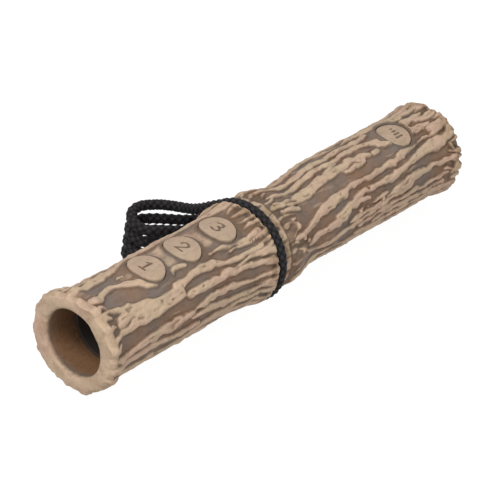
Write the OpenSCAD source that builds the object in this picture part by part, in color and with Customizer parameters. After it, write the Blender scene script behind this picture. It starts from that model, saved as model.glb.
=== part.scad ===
// Deer call: two soft antler-relief sleeves on a hard coupling, a reed that three pads shorten,
// a fourth pad that squeezes the sound tube, and a braided neck lanyard.
// Along the call, u runs from the mouth face. The call lies along X with its pads on top.

/* [Front sleeve] */
// Length from the mouth face to the flared edge
front_length = 89; // [86:0.5:96]
// Outer radius of the burr round the mouth
mouth_rim_radius = 19.3; // [18.6:0.1:20]
// Wall over the reed barrel, in the valleys of the relief
front_wall = 3.3; // [3:0.1:4]
// Outer radius of the flared edge, in the valleys of the relief
flare_radius = 20.1; // [19.4:0.1:21]
// Radius of the mouth bore
mouth_bore_radius = 13; // [11.8:0.1:13.4]
// Depth of the mouth bore, up to the reed barrel
mouth_depth = 15; // [12:0.5:18]

/* [Rear sleeve] */
// Length from the collar face to the outlet face
rear_length = 111.4; // [104:0.2:124]
// Outer radius of the collar behind the groove
collar_radius = 19.2; // [18.4:0.1:19.6]
// Wall over the coupling, at the neck behind the collar
rear_neck_wall = 2.1; // [1.9:0.1:2.8]
// Outer radius along the rear grip, in the valleys of the relief
rear_grip_radius = 17.5; // [17.2:0.1:18.2]
// Outer radius of the outlet rim, in the valleys of the relief
outlet_rim_radius = 18.6; // [18:0.1:19.4]
// Radius of the sound tube's bore
sound_bore_radius = 11.5; // [10.5:0.1:12]
// Radius of the wider outlet bore
outlet_bore_radius = 12.5; // [12.2:0.1:14]
// Depth of the outlet bore
outlet_depth = 18; // [14:0.5:20]

/* [Antler relief] */
// Height of the ridges over the valleys
ridge_height = 0.9; // [0.5:0.1:1.1]
// Sideways lean of the rear sleeve's skin, up and to the back
rear_lean = 1.1; // [0:0.1:1.3]
// Rows of facets along each sleeve
skin_rows = 38; // [32:2:42]
// Facets round each sleeve
skin_sides = 88; // [72:4:92]

/* [Pads] */
// Width of each oval pad, across the call
pad_across = 14.8; // [13.6:0.2:15.6]
// Length of each oval pad, along the call
pad_along = 12.4; // [11:0.2:13]
// Height of a pad's middle over the skin round it
pad_proud = 1; // [1:0.1:1.6]
// Radius of a pad's crown, across the call
pad_crown = 22; // [22:1:40]
// Thickness of a tone pad's cap
pad_cap = 1.8; // [1.8:0.1:2.4]
// Distance from the flared edge back to the third pad
third_pad = 16; // [16:0.5:19]
// Distance from one tone pad to the next
pad_pitch = 19; // [18:0.5:19.5]
// Distance from the outlet face back to the volume pad
volume_from_outlet = 27; // [27:0.5:34]
// Travel of the three tone pads
tone_travel = 2.4; // [2.4:0.1:2.7]
// Travel of the volume pad, until its cap meets the web
volume_travel = 4; // [2:0.2:4.6]
// Radius of the stem under each pad
stem_radius = 3; // [2.4:0.1:3.4]
// Thickness of the web round each stem
web_thickness = 1; // [0.8:0.1:1.2]

/* [Reed] */
// Radius of the reed barrel
barrel_radius = 13.8; // [13.6:0.1:14.2]
// Wall of the reed barrel
barrel_wall = 2; // [1.6:0.1:2.2]
// Width of the reed
reed_width = 10; // [8.6:0.2:10.8]
// Thickness of the reed film
reed_thickness = 0.4; // [0.3:0.05:0.5]
// Reach of the reed's free tip past the first pad
reed_lead = 7; // [6:0.5:8]
// Drop of the tone board's table under the reed's tip
table_drop = 2.4; // [1.8:0.1:2.4]
// Radius of the sound trough
trough_radius = 3.6; // [3:0.1:4]

/* [Coupling] */
// Width of the lanyard groove
groove_width = 4.6; // [4.6:0.1:6]
// Radius of the lanyard groove's floor
groove_floor = 16.5; // [16:0.1:16.8]
// Length of the spigot in the front sleeve
front_spigot = 7.7; // [7:0.1:8.2]
// Length of the spigot in the rear sleeve
rear_spigot = 18.4; // [14:0.2:19]
// Radius of the air passage through the coupling
passage_radius = 9.5; // [8:0.1:10]
// Length of the stopper in the coupling
stopper_length = 16; // [15:0.5:18]

/* [Lanyard] */
// Diameter of the braided cord
cord_diameter = 4; // [3.6:0.1:4]
// Loops in the hank, counted at its near end
hank_layers = 4; // [3:1:4]
// Reach of the hank's lower loops along the call
hank_run = 58; // [54:1:60]
// Further reach of its top loop, which comes down to the ground past the lower ones
upper_reach = 28; // [28:1:32]
// Radius of the hank's end loops, at the middle of the cord
hank_bight = 8; // [8:0.2:8.4]
// Width of the band round the hank's waist
tie_width = 6; // [4:0.5:8]

/* [Hidden] */

// Colours of the finishes
antler_tan = [0.72, 0.59, 0.46];
pad_tan = [0.76, 0.63, 0.49];
valley_brown = [0.45, 0.37, 0.33];
black_plastic = [0.09, 0.09, 0.09];
seal_black = [0.05, 0.05, 0.05];
film_amber = [0.80, 0.74, 0.55];
cord_black = [0.07, 0.07, 0.08];

// Clearances
slip = 0.2;        // between a sleeve's bore and a hard tube in it
run_gap = 0.35;    // round a pad in its hole and a stem in its web
seat = 0.05;       // between clamped or stacked pieces
pinch = 0.1;       // left over the reed when a tone pad is fully down
round_sides = 96;

// Places along the call
groove_start = front_length;
collar_start = groove_start + groove_width;
call_length = collar_start + rear_length;
groove_middle = groove_start + groove_width / 2;
coupling_start = front_length - front_spigot;
coupling_end = collar_start + rear_spigot;
barrel_end = coupling_start - slip;
stopper_start = coupling_start - 1;
stopper_end = stopper_start + stopper_length;
outlet_start = call_length - outlet_depth;
tone_pads = [for (i = [2:-1:0]) front_length - third_pad - i * pad_pitch];
volume_pad_at = call_length - volume_from_outlet;
reed_tip = tone_pads[0] - reed_lead;

// Radii that follow from one another
chamber_radius = barrel_radius + slip;
front_grip_radius = chamber_radius + front_wall;
rear_neck_radius = chamber_radius + rear_neck_wall;
barrel_bore = barrel_radius - barrel_wall;
stopper_radius = barrel_bore - slip;
tongue_radius = stopper_radius - slip;
noose_radius = groove_floor + cord_diameter / 2;

// A smooth step from 0 to 1
function ease(t) = let (c = min(max(t, 0), 1)) c * c * (3 - 2 * c);

// Radius at u along a profile of [u, radius] stations, eased from each station to the next
function eased(profile, u) =
    let (k = max([for (i = [0:len(profile) - 2]) if (profile[i][0] <= u) i]))
    let (t = (u - profile[k][0]) / (profile[k + 1][0] - profile[k][0]))
    profile[k][1] + (profile[k + 1][1] - profile[k][1]) * ease(t);

// Front sleeve: rounded burr, grip, and a flare that swells to a rounded edge
burr_edge = 1.6;
burr_width = 5;
burr_end = 10;
burr_fall = 0.5;
flare_start = 22;
flare_swell_at = 11;
flare_swell = 0.6;
flare_edge = 1;
edge_fall = 0.9;
front_profile = [
    [0, mouth_rim_radius - edge_fall],
    [burr_edge, mouth_rim_radius],
    [burr_width, mouth_rim_radius - burr_fall],
    [burr_end, front_grip_radius],
    [front_length - flare_start, front_grip_radius],
    [front_length - flare_swell_at, front_grip_radius + flare_swell],
    [front_length - flare_edge, flare_radius],
    [front_length, flare_radius - edge_fall]
];

// Rear sleeve: rounded collar, drawn-in neck, grip, and a rim at the outlet
collar_edge = 1.4;
collar_width = 9;
collar_fall = 0.5;
neck_at = 22;
grip_at = 47;
rim_start = 13;
rim_edge = 2;
rear_profile = [
    [0, collar_radius - edge_fall],
    [collar_edge, collar_radius],
    [collar_width, collar_radius - collar_fall],
    [neck_at, rear_neck_radius],
    [grip_at, rear_grip_radius],
    [rear_length - rim_start, rear_grip_radius],
    [rear_length - rim_edge, outlet_rim_radius],
    [rear_length, outlet_rim_radius - edge_fall]
];

// Angle from the top, from -180 to 180
function from_top(a) = a > 180 ? a - 360 : a < -180 ? a + 360 : a;

// Distance from a pad's middle in pad half-widths, for a point at angle a from the top
function pad_reach(pad_u, u, a, r) =
    norm([2 * (u - pad_u) / pad_along, 2 * r * a * PI / 180 / pad_across]);

// 0 on the smooth skin round the pads, 1 on the open relief
calm_edge = 1.15;
calm_fade = 0.6;
function calm(pads, u, a, r) =
    min([for (p = pads) ease((pad_reach(p, u, a, r) - calm_edge) / calm_fade)]);

// Main ridges of the side with the pads: routes of [place, angle from the top, half width] stations,
// with places from the mouth face for sleeves of the lengths that they are drawn for
front_drawn = 89;
front_ridges = [
    [[2, -15, 1.6], [8, -20, 2], [22, -24, 1.6], [29, -29, 1.2]],
    [[4, 11, 1.4], [10, 7, 1.4], [15, 2, 0.9], [20, 5, 1.2], [26, 14, 1.4], [32, 24, 0.8]],
    [[2, 30, 0.8], [11, 41, 3.4], [16, 43, 4], [22, 47, 4.2], [28, 49, 3.6], [40, 47, 3]],
    [[40, 42, 2.4], [45, 38, 1.4], [55, 35, 1.8], [60, 37, 1.6], [65, 42, 1.2], [70, 45, 1.1],
     [83, 44, 0.9]],
    [[61, 25, 0.6], [66, 24, 1], [79, 30, 0.9], [85, 29, 1]],
    [[4, 58, 0.8], [15, 56, 1.6], [24, 56, 1.6]],
    [[43, 57, 0.8], [47, 55, 1.6], [58, 55, 1.5], [70, 58, 1], [87, 64, 1.2]],
    [[3, 80, 1.2], [8, 86, 1.6], [18, 82, 1.8], [24, 81, 2.2], [36, 80, 1.6], [48, 77, 1.2], [54, 72, 1.4],
     [60, 72, 1.6], [72, 77, 1.1], [86, 80, 1.1]],
    [[44, 87, 1], [56, 86, 1.4], [62, 89, 1.6], [68, 92, 1.2], [86, 93, 1.2]],
    [[8, 99, 1.2], [22, 95, 1.4], [38, 101, 1.4], [48, 99, 1]],
    [[54, 102, 1.2], [70, 103, 1], [80, 105, 1.2]]
];
rear_drawn = 111.4;
rear_drawn_from = 93.6;
rear_ridges = [
    [[102, -20, 1], [110, -18, 1.4], [120, -17, 1.6], [130, -21, 1.5], [140, -18, 1.3], [150, -21, 1.5],
     [168, -22, 1.2]],
    [[101, -3, 0.6], [112, -2, 0.9], [125, -7, 1.6], [141, -6, 1.3], [149, -9, 1.5],
     [157, -8, 1.2], [168, 0, 1.4]],
    [[106, 12, 0.6], [112, 11, 1.2], [117, 14, 2.6], [123, 12, 2.2], [130, 8, 1.6], [146, 6, 1.6],
     [158, 11, 1]],
    [[101, 58, 0.7], [111, 56, 1.2], [116, 52, 1.6], [120, 46, 2], [125, 43, 2.2], [130, 40, 2],
     [140, 35, 1.2], [156, 35, 1.1], [165, 34, 1.5], [173, 31, 1.4], [184, 27, 0.8], [204, 24, 0.8]],
    [[128, 62, 1], [132, 57, 1.2], [142, 50, 1.4], [147, 47, 1.2], [158, 51, 1.4], [170, 47, 1.1],
     [181, 42, 1.8], [191, 38, 2.8], [202, 37, 1.4]],
    [[158, 71, 0.8], [163, 69, 1.4], [169, 68, 2.2], [175, 65, 1.8], [188, 64, 1.2], [199, 64, 0.7]],
    [[109, 76, 1], [120, 73, 1.6], [126, 71, 1.8], [131, 66, 1.6], [134, 61, 1.2]],
    [[102, 72, 0.8], [107, 80, 0.8], [112, 88, 1], [118, 93, 1], [123, 95, 1.2],
     [128, 91, 1.4], [133, 86, 1.2]],
    [[165, 86, 0.8], [178, 85, 1], [197, 85, 0.8]],
    [[150, 97, 1], [160, 94, 1.2], [182, 97, 1], [194, 96, 1.2]],
    [[140, 104, 1.2], [166, 105, 1.4], [196, 106, 1.2]],
    [[184, 8, 1.6], [196, 11, 0.8]],
    [[185, -6, 1.3], [198, -6, 0.9]],
    [[174, -24, 1], [184, -20, 1.4], [202, -18, 1]]
];

// Ridges of the far side: evenly spread, wandering in two waves, and swelling and thinning in a third,
// each wave with its reach, its length and its shift from one ridge to the next
back_first = 114;
back_pitch = 14;
back_ridges = 16;
back_half = 1.2;
slow_wave = [5, 72, 47];
quick_wave = [3, 31, 83];
swell_wave = [0.7, 46, 131];
function wave(w, k, u) = w[0] * sin(360 * u / w[1] + w[2] * k);
function back_ridge(k, u) = [
    back_first + back_pitch * k + wave(slow_wave, k, u) + wave(quick_wave, k, u),
    back_half + wave(swell_wave, k, u),
    1
];

// Angle, half width and height of each ridge that crosses a row of the skin
ridge_end = 2;
function column(route, k) = [for (station = route) [station[0], station[k]]];
function row_ridges(routes, u) = concat(
    [for (route = routes)
        let (first = route[0][0] - ridge_end, last = route[len(route) - 1][0] + ridge_end)
        if (u > first && u < last) [
            lookup(u, column(route, 1)),
            lookup(u, column(route, 2)),
            ease((u - first) / ridge_end) * ease((last - u) / ridge_end)
        ]],
    [for (k = [0:back_ridges - 1]) back_ridge(k, u)]);

// Height of the relief in a row, from 0 in the valleys to 1 on the ridges, with shoulders of a set breadth
ridge_shoulder = 1.2;
function ridges(row, a, r) = max([for (ridge = row)
    let (off = abs(from_top(a - ridge[0])) * r * PI / 180)
    ridge[2] * ease((ridge[1] - off) / ridge_shoulder + 0.5)]);

// Knobs of the burr round an end, dying out away from it
knob_count = 17;
knob_reach = 6;
function knobs(from_end, a) = max(0, sin(knob_count * a)) * (1 - ease(from_end / knob_reach));

// Where the ridges start behind the mouth's burr and the collar's edge, and over what length they rise
burr_clear = 4;
collar_clear = 1;
ridge_rise = 6;
function front_radius(u, a, row) =
    let (r = eased(front_profile, u))
    let (open = ease((u - burr_clear) / ridge_rise) * calm(tone_pads, u, from_top(a), r))
    r + ridge_height * max(knobs(u, a), ridges(row, a, r) * open);

// The rear sleeve's skin leans over from the neck onwards
lean_angle = 310;
lean_start = 18;
lean_rise = 28;
function rear_radius(v, a, row) =
    let (r = eased(rear_profile, v), pad_v = volume_pad_at - collar_start)
    let (open = ease((v - collar_clear) / ridge_rise) * calm([pad_v], v, from_top(a), r))
    r + ridge_height * max(knobs(rear_length - v, a), ridges(row, a, r) * open)
      + rear_lean * ease((v - lean_start) / lean_rise) * cos(a - lean_angle);

// Points of a skin at radius r from the axis, at angle a from the top towards the front side
function at(u, a, r) = [u, -r * sin(a), r * cos(a)];
front_points = [for (i = [0:skin_rows])
    let (u = front_length * i / skin_rows, row = row_ridges(front_ridges, front_drawn * i / skin_rows))
    for (j = [0:skin_sides - 1])
        let (a = 360 * j / skin_sides) at(u, a, front_radius(u, a, row))];
rear_points = [for (i = [0:skin_rows])
    let (v = rear_length * i / skin_rows)
    let (row = row_ridges(rear_ridges, rear_drawn_from + rear_drawn * i / skin_rows))
    for (j = [0:skin_sides - 1])
        let (a = 360 * j / skin_sides) at(v, a, rear_radius(v, a, row))];

// Height of the axis at which the lowest ridge touches the ground
axis_height = -min([for (p = concat(front_points, rear_points)) p[2]]);

// Tube of rings: side triangles and two end faces
function tube_faces(rings, sides) = concat(
    [for (i = [0:rings - 2], j = [0:sides - 1])
        let (k = (j + 1) % sides, p = i * sides, q = p + sides)
        each [[p + j, q + j, q + k], [p + j, q + k, p + k]]],
    [[for (j = [0:sides - 1]) j]],
    [[for (j = [sides - 1:-1:0]) (rings - 1) * sides + j]]);

module skin(points) {
    polyhedron(points, tube_faces(skin_rows + 1, skin_sides), convexity = 10);
}

// Puts a piece that is drawn from the mouth face along the axis into its place
module in_call() translate([-call_length / 2, 0, axis_height]) children();

// Solid rod about the axis from a to b
module rod(a, b, r) translate([a, 0, 0]) rotate([0, 90, 0]) cylinder(h = b - a, r = r, $fn = round_sides);

// Cone about the axis from radius r1 at a to radius r2 at b
module cone(a, b, r1, r2)
    translate([a, 0, 0]) rotate([0, 90, 0]) cylinder(h = b - a, r1 = r1, r2 = r2, $fn = round_sides);

// Profile of [u, radius] points turned about the axis
module turned(points) rotate([0, 90, 0]) rotate_extrude($fn = round_sides)
    polygon([for (p = points) [p[1], p[0]]]);

// Oval of the pads, grown by a margin
oval_sides = 40;
module oval(margin) polygon([for (i = [0:oval_sides - 1])
    let (a = 360 * i / oval_sides)
    [(pad_along / 2 + margin) * cos(a), (pad_across / 2 + margin) * sin(a)]]);

// Upright oval column through the top wall at u
column_top = 30;
module oval_column(u, margin) translate([u, 0, 0]) linear_extrude(column_top) oval(margin);

// Edge broken off the mouth and the outlet
lip = 1.2;

module front_sleeve() {
    color(antler_tan) in_call() difference() {
        skin(front_points);
        rod(-1, mouth_depth + 1, mouth_bore_radius);
        cone(-0.01, lip, mouth_bore_radius + lip, mouth_bore_radius);
        rod(mouth_depth, front_length + 1, chamber_radius);
        for (u = tone_pads) oval_column(u, run_gap);
    }
}

module rear_sleeve() {
    color(antler_tan) in_call() difference() {
        translate([collar_start, 0, 0]) skin(rear_points);
        rod(collar_start - 1, coupling_end + slip, chamber_radius);
        rod(coupling_end - 1, call_length + 1, sound_bore_radius);
        rod(outlet_start, call_length + 1, outlet_bore_radius);
        cone(call_length - lip, call_length + 0.01, outlet_bore_radius, outlet_bore_radius + lip);
        oval_column(volume_pad_at, run_gap);
    }
}

// Oval cap, hollowed to a radius about the axis and crowned on top
module pad_cap_at(u, under, top) {
    intersection() {
        oval_column(u, 0);
        difference() {
            translate([0, 0, top - pad_crown]) rod(u - pad_along, u + pad_along, pad_crown);
            rod(u - pad_along - 1, u + pad_along + 1, under);
        }
    }
}

// Height of the tone board's table at u: level at the reed's root, falling towards its tip
function table_height(u) = -table_drop * (stopper_start - u) / (stopper_start - reed_tip);

// Tone pad: cap, stem and a rounded bar that comes down across the reed
bar_radius = 1.2;
bar_length = 8;
module tone_pad(u) {
    top = eased(front_profile, u) + pad_proud;
    bar_middle = table_height(u) + reed_thickness + pinch + tone_travel + bar_radius;
    color(pad_tan) in_call() union() {
        pad_cap_at(u, top - pad_cap, top);
        translate([u, 0, bar_middle]) cylinder(h = top - pad_cap / 2 - bar_middle, r = stem_radius, $fn = 48);
        translate([u, bar_length / 2, bar_middle])
            rotate([90, 0, 0]) cylinder(h = bar_length, r = bar_radius, $fn = 48);
    }
}

module fawn_pad() tone_pad(tone_pads[0]);
module doe_pad() tone_pad(tone_pads[1]);
module young_buck_pad() tone_pad(tone_pads[2]);

// Volume pad: cap, stem and a round foot that comes down into the sound tube
foot_radius = 5;
foot_thickness = 1.6;
module volume_pad() {
    top = eased(rear_profile, volume_pad_at - collar_start) + pad_proud;
    under = sound_bore_radius + web_thickness + volume_travel + run_gap;
    foot_top = sqrt(sound_bore_radius * sound_bore_radius - foot_radius * foot_radius) - run_gap;
    foot_bottom = foot_top - foot_thickness;
    color(pad_tan) in_call() union() {
        pad_cap_at(volume_pad_at, under, top);
        translate([volume_pad_at, 0, foot_bottom])
            cylinder(h = (under + top) / 2 - foot_bottom, r = stem_radius, $fn = 48);
        translate([volume_pad_at, 0, foot_bottom]) cylinder(h = foot_thickness, r = foot_radius, $fn = 48);
    }
}

// Thin web across a pad's hole, just over the bore, open for the stem
module web(u, bore) {
    color(valley_brown) in_call() difference() {
        intersection() {
            oval_column(u, run_gap);
            difference() {
                rod(u - pad_along, u + pad_along, bore + web_thickness);
                rod(u - pad_along - 1, u + pad_along + 1, bore);
            }
        }
        translate([u, 0, 0]) cylinder(h = column_top, r = stem_radius + run_gap, $fn = 48);
    }
}

module fawn_web() web(tone_pads[0], chamber_radius);
module doe_web() web(tone_pads[1], chamber_radius);
module young_buck_web() web(tone_pads[2], chamber_radius);
module volume_web() web(volume_pad_at, sound_bore_radius);

// Hard tube that keeps the soft sleeve off the reed, slotted on top for the stems
slot_margin = 0.7;
module reed_barrel() {
    slot_width = bar_length + 2 * slot_margin;
    slot_start = tone_pads[0] - stem_radius - 3 * slot_margin;
    slot_end = tone_pads[2] + stem_radius + 3 * slot_margin;
    color(black_plastic) in_call() difference() {
        rod(mouth_depth + seat, barrel_end, barrel_radius);
        rod(mouth_depth, barrel_end + 1, barrel_bore);
        translate([slot_start, -slot_width / 2, 0]) cube([slot_end - slot_start, slot_width, column_top]);
    }
}

// Grooves for the seals on the stopper, and for the band on the tongue
seal_section = 0.9;
seal_floor = barrel_bore - 2 * seal_section - 2 * seat;
seal_setback = 5.5;
seal_pitch = 6;
seal_places = [for (i = [0:1]) stopper_start + seal_setback + i * seal_pitch];
band_width = 2;
band_start = stopper_start - 3;
band_floor = tongue_radius - 1.2;

// Pocket in the stopper for the reed's root and its wedge
pocket_depth = 11;
pocket_height = 3.8;
tongue_start = reed_tip - 2;
trough_start = reed_tip + 5;
trough_height = -5.5;

module tone_board() {
    color(black_plastic) in_call() difference() {
        union() {
            rod(stopper_start, stopper_end, stopper_radius);
            intersection() {
                rod(tongue_start, stopper_start + 1, tongue_radius);
                rotate([90, 0, 0]) translate([0, 0, -column_top]) linear_extrude(2 * column_top) polygon([
                    [tongue_start, -column_top],
                    [stopper_start + 1, -column_top],
                    [stopper_start + 1, table_height(stopper_start)],
                    [stopper_start, table_height(stopper_start)],
                    [tongue_start, table_height(tongue_start)]
                ]);
            }
        }
        translate([0, 0, trough_height]) rod(trough_start, stopper_end + 1, trough_radius);
        translate([trough_start, -trough_radius, trough_height])
            cube([stopper_start - trough_start, 2 * trough_radius, column_top]);
        translate([stopper_start - 1, -reed_width / 2 - slip, 0])
            cube([pocket_depth + 1, reed_width + 2 * slip, pocket_height]);
        for (u = seal_places) difference() {
            rod(u - seal_section - slip, u + seal_section + slip, stopper_radius + 1);
            rod(u - 5, u + 5, seal_floor);
        }
        difference() {
            rod(band_start - slip, band_start + band_width + slip, tongue_radius + 1);
            rod(band_start - 5, band_start + 5, band_floor);
        }
    }
}

module reed() {
    color(film_amber) in_call() translate([reed_tip, -reed_width / 2, 0])
        cube([stopper_start + pocket_depth - seat - reed_tip, reed_width, reed_thickness]);
}

// Wedge over the reed's root, thinner where it is pushed in
wedge_taper = 0.6;
module reed_wedge() {
    low = reed_thickness + seat;
    high = pocket_height - seat;
    color(seal_black) in_call() rotate([90, 0, 0]) translate([0, 0, -reed_width / 2]) linear_extrude(reed_width)
        polygon([
            [stopper_start - 0.8, low],
            [stopper_start + pocket_depth - seat, low],
            [stopper_start + pocket_depth - seat, high - wedge_taper],
            [stopper_start - 0.8, high]
        ]);
}

// Half-round outline about the axis, cut off level at a height
module half_round(r, level) intersection() {
    circle(r = r, $fn = round_sides);
    translate([-2 * r, -2 * r]) square([4 * r, 2 * r + level]);
}

band_thickness = 1;
module reed_band() {
    color(seal_black) in_call() translate([band_start, 0, 0]) rotate([90, 0, 90]) linear_extrude(band_width)
        difference() {
            half_round(band_floor + seat + band_thickness, reed_thickness + seat + band_thickness);
            half_round(band_floor + seat, reed_thickness + seat);
        }
}

module stopper_seals() {
    color(seal_black) in_call() for (u = seal_places) translate([u, 0, 0]) rotate([0, 90, 0])
        rotate_extrude($fn = round_sides) translate([seal_floor + seal_section + seat, 0])
            circle(r = seal_section, $fn = 32);
}

// Ferrule: barbed spigots on both sides of the groove's floor, stepped bore for the stopper
barb = 0.15;
module coupling() {
    stop = stopper_end + seat;
    color(black_plastic) in_call() turned([
        [coupling_start, barrel_bore],
        [coupling_start, barrel_radius],
        [groove_start - 4, barrel_radius],
        [groove_start - 4, barrel_radius + barb],
        [groove_start - 2, barrel_radius],
        [groove_start, barrel_radius],
        [groove_start, groove_floor],
        [collar_start, groove_floor],
        [collar_start, barrel_radius],
        [collar_start + 4, barrel_radius],
        [collar_start + 6, barrel_radius + barb],
        [collar_start + 6, barrel_radius],
        [coupling_end - 1, barrel_radius],
        [coupling_end, barrel_radius - 0.8],
        [coupling_end, passage_radius],
        [stop, passage_radius],
        [stop, barrel_bore]
    ]);
}

module lanyard_noose() {
    color(cord_black) in_call() translate([groove_middle, 0, 0]) rotate([0, 90, 0])
        rotate_extrude($fn = round_sides) translate([noose_radius, 0]) circle(d = cord_diameter, $fn = 32);
}

// Knot behind the call, clear of both sleeves, on a stem that reaches the noose
knot_angle = 230;
knot_size = 3.4;
knot_radius = flare_radius + ridge_height + knot_size + slip;
module lanyard_knot() {
    color(cord_black) in_call() translate([groove_middle, 0, 0]) rotate([knot_angle, 0, 0]) union() {
        translate([0, 0, noose_radius]) cylinder(h = knot_radius - noose_radius, d = cord_diameter, $fn = 32);
        translate([0, 0, knot_radius]) sphere(r = knot_size, $fn = 32);
    }
}

// Rings of a cord about a route of points
function heading(path, i) =
    let (step = path[min(i + 1, len(path) - 1)] - path[max(i - 1, 0)]) step / norm(step);
function ring_points(path, sides, r) = [for (i = [0:len(path) - 1])
    let (t = heading(path, i), side = cross(t, [0, 0, 1]), n = side / norm(side), b = cross(t, n))
    for (j = [0:sides - 1]) path[i] + r * (cos(360 * j / sides) * n + sin(360 * j / sides) * b)];
module cord(path, sides)
    polyhedron(ring_points(path, sides, cord_diameter / 2), tube_faces(len(path), sides), convexity = 10);

// A smooth route through chosen points, with the given steps from each to the next
function smooth(points, steps) = let (last = len(points) - 1) concat(
    [for (i = [0:last - 1], k = [0:steps - 1])
        let (a = points[max(i - 1, 0)], b = points[i], c = points[i + 1], d = points[min(i + 2, last)])
        let (t = k / steps)
        b + t / 2 * (c - a) + t * t / 2 * (2 * a - 5 * b + 4 * c - d)
          + t * t * t / 2 * (3 * b - a - 3 * c + d)],
    [points[last]]);

// Hank: loops behind the call, drawn in at the waist. Its near end stands off the call, and from there
// its line bends in to run along the call. The loops spread a little at the near end. Each near run climbs
// a layer, and the top loop comes down to the ground past the far ends of the lower ones. The last turn
// rises on its way to the groove.
hank_start = -21.7;
hank_stand = 12.2;
hank_bend = 38;
hank_line = 24.6;
layer_step = cord_diameter + 0.7;
near_step = cord_diameter + 1.4;
waist_at = 8;
waist_half = 2.6;
climb_start = 4;
climb_length = 24;
last_rise = 1;
tie_thickness = 0.8;
tie_gap = 0.5;
lift_reach = 20;
run_steps = 10;
bight_steps = 5;
top_loop = hank_layers - 2;
lower_end = hank_start + hank_run;
upper_end = lower_end + upper_reach;
lower_tip = lower_end + hank_bight;

// A point of the hank from its place along, its distance across from the hank's line, and its height
function off_line(x) = max(0, 1 - (x - hank_start) / hank_bend);
function line_slope(x) = -2 * hank_stand / hank_bend * off_line(x);
function hank_place(x, t, z) =
    let (across = [-line_slope(x), 1] / norm([line_slope(x), 1]))
    [x + t * across[0], hank_line + hank_stand * pow(off_line(x), 2) + t * across[1], z];
function far_end(n) = n < top_loop ? lower_end : upper_end;
function opens(n) = n < top_loop ? waist_at : lower_tip;
function half_width(n, x) = waist_half + (hank_bight - waist_half) * (
    ease((waist_at - x) / (waist_at - hank_start)) + ease((x - opens(n)) / (far_end(n) - opens(n))));
function layer_height(n) = cord_diameter / 2 + n * layer_step;
function near_height(n) = cord_diameter / 2 + n * near_step;
function towards_near(x) = ease((climb_start - x) / climb_length);
function waist_lift(x) = (tie_thickness + tie_gap) * (1 - ease(abs(x - waist_at) / lift_reach));
function run_height(n, x) = layer_height(n) + waist_lift(x)
    - (n < top_loop ? 0 : top_loop * layer_step * ease((x - lower_tip) / upper_reach));

// One loop: round the near end, along the far side, round the far end, and back along the near side
near_heading = [1, line_slope(hank_start), 0] / norm([1, line_slope(hank_start)]);
function near_bight(n, rise = 0) = [for (i = [0:bight_steps - 1])
    let (a = 180 * i / bight_steps, z = near_height(n) + rise * (1 - cos(a)) / 2)
    hank_place(hank_start, -hank_bight * cos(a), z) - hank_bight * sin(a) * near_heading];
function far_run(n) = [for (i = [0:run_steps - 1])
    let (x = hank_start + (far_end(n) - hank_start) * i / run_steps)
    let (rise = (near_height(n) - layer_height(n)) * towards_near(x))
    hank_place(x, half_width(n, x), run_height(n, x) + rise)];
function far_bight(n) = [for (i = [0:bight_steps - 1])
    let (a = 180 * i / bight_steps, x = far_end(n) + hank_bight * sin(a))
    hank_place(x, hank_bight * cos(a), run_height(n, x))];
function near_run(n) = [for (i = [0:run_steps - 1])
    let (x = far_end(n) + (hank_start - far_end(n)) * i / run_steps)
    let (climb = (near_height(n + 1) - layer_height(n)) * towards_near(x))
    hank_place(x, -half_width(n, x), run_height(n, x) + climb)];
hank_path = concat(
    [for (n = [0:top_loop]) each concat(near_bight(n), far_run(n), far_bight(n), near_run(n))],
    near_bight(hank_layers - 1, last_rise),
    [hank_place(hank_start, hank_bight, near_height(hank_layers - 1) + last_rise)]);

// Least gap of the hank to itself, between points over four diameters apart along the cord
function walk(path) = [for (i = 0, d = 0; i < len(path);
    d = d + (i + 1 < len(path) ? norm(path[i + 1] - path[i]) : 0), i = i + 1) d];
hank_walk = walk(hank_path);
hank_gap = min([for (i = [0:len(hank_path) - 2], j = [i + 1:len(hank_path) - 1])
    if (hank_walk[j] - hank_walk[i] > 4 * cord_diameter) norm(hank_path[i] - hank_path[j])]) - cord_diameter;
echo(hank_gap = hank_gap, hank_length = hank_walk[len(hank_walk) - 1], axis_height = axis_height);

module lanyard_hank() {
    color(cord_black) cord(hank_path, 6);
}

// Stretch from the top of the hank up into the back of the groove
entry_angle = 320;
groove_x = groove_middle - call_length / 2;
groove_entry = [groove_x, 0, axis_height] + at(0, entry_angle, noose_radius);
lead_back_route = [
    hank_path[len(hank_path) - 1],
    [-13.2, 40.6, 19.2],
    [-9.9, 36.8, 19.3],
    [-8.9, 32.2, 20.6],
    [-9.8, 27.4, 23.2],
    [-11, 22.4, 26.8],
    [-11.2, 17.2, 30.9],
    groove_entry
];
module lanyard_lead_back() {
    color(cord_black) cord(smooth(lead_back_route, 3), 8);
}

// Stretch from the knot down to the ground and out to the near end of the hank
knot_middle = [groove_x, 0, axis_height] + at(0, knot_angle, knot_radius);
lead_out_route = [
    knot_middle,
    [-12.6, 21.8, 3.4],
    [-15.6, 24.2, 2.5],
    [-19.6, 26.5, 2.2],
    [-23, 28.4, 2.1],
    hank_path[0]
];
module lanyard_lead_out() {
    color(cord_black) cord(smooth(lead_out_route, 3), 8);
}

// Rectangle with round corners, from its low corner
module soft_rectangle(size, r) {
    translate([r, 0]) square([size[0] - 2 * r, size[1]]);
    translate([0, r]) square([size[0], size[1] - 2 * r]);
    for (x = [r, size[0] - r], y = [r, size[1] - r]) translate([x, y]) circle(r = r, $fn = 24);
}

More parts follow.
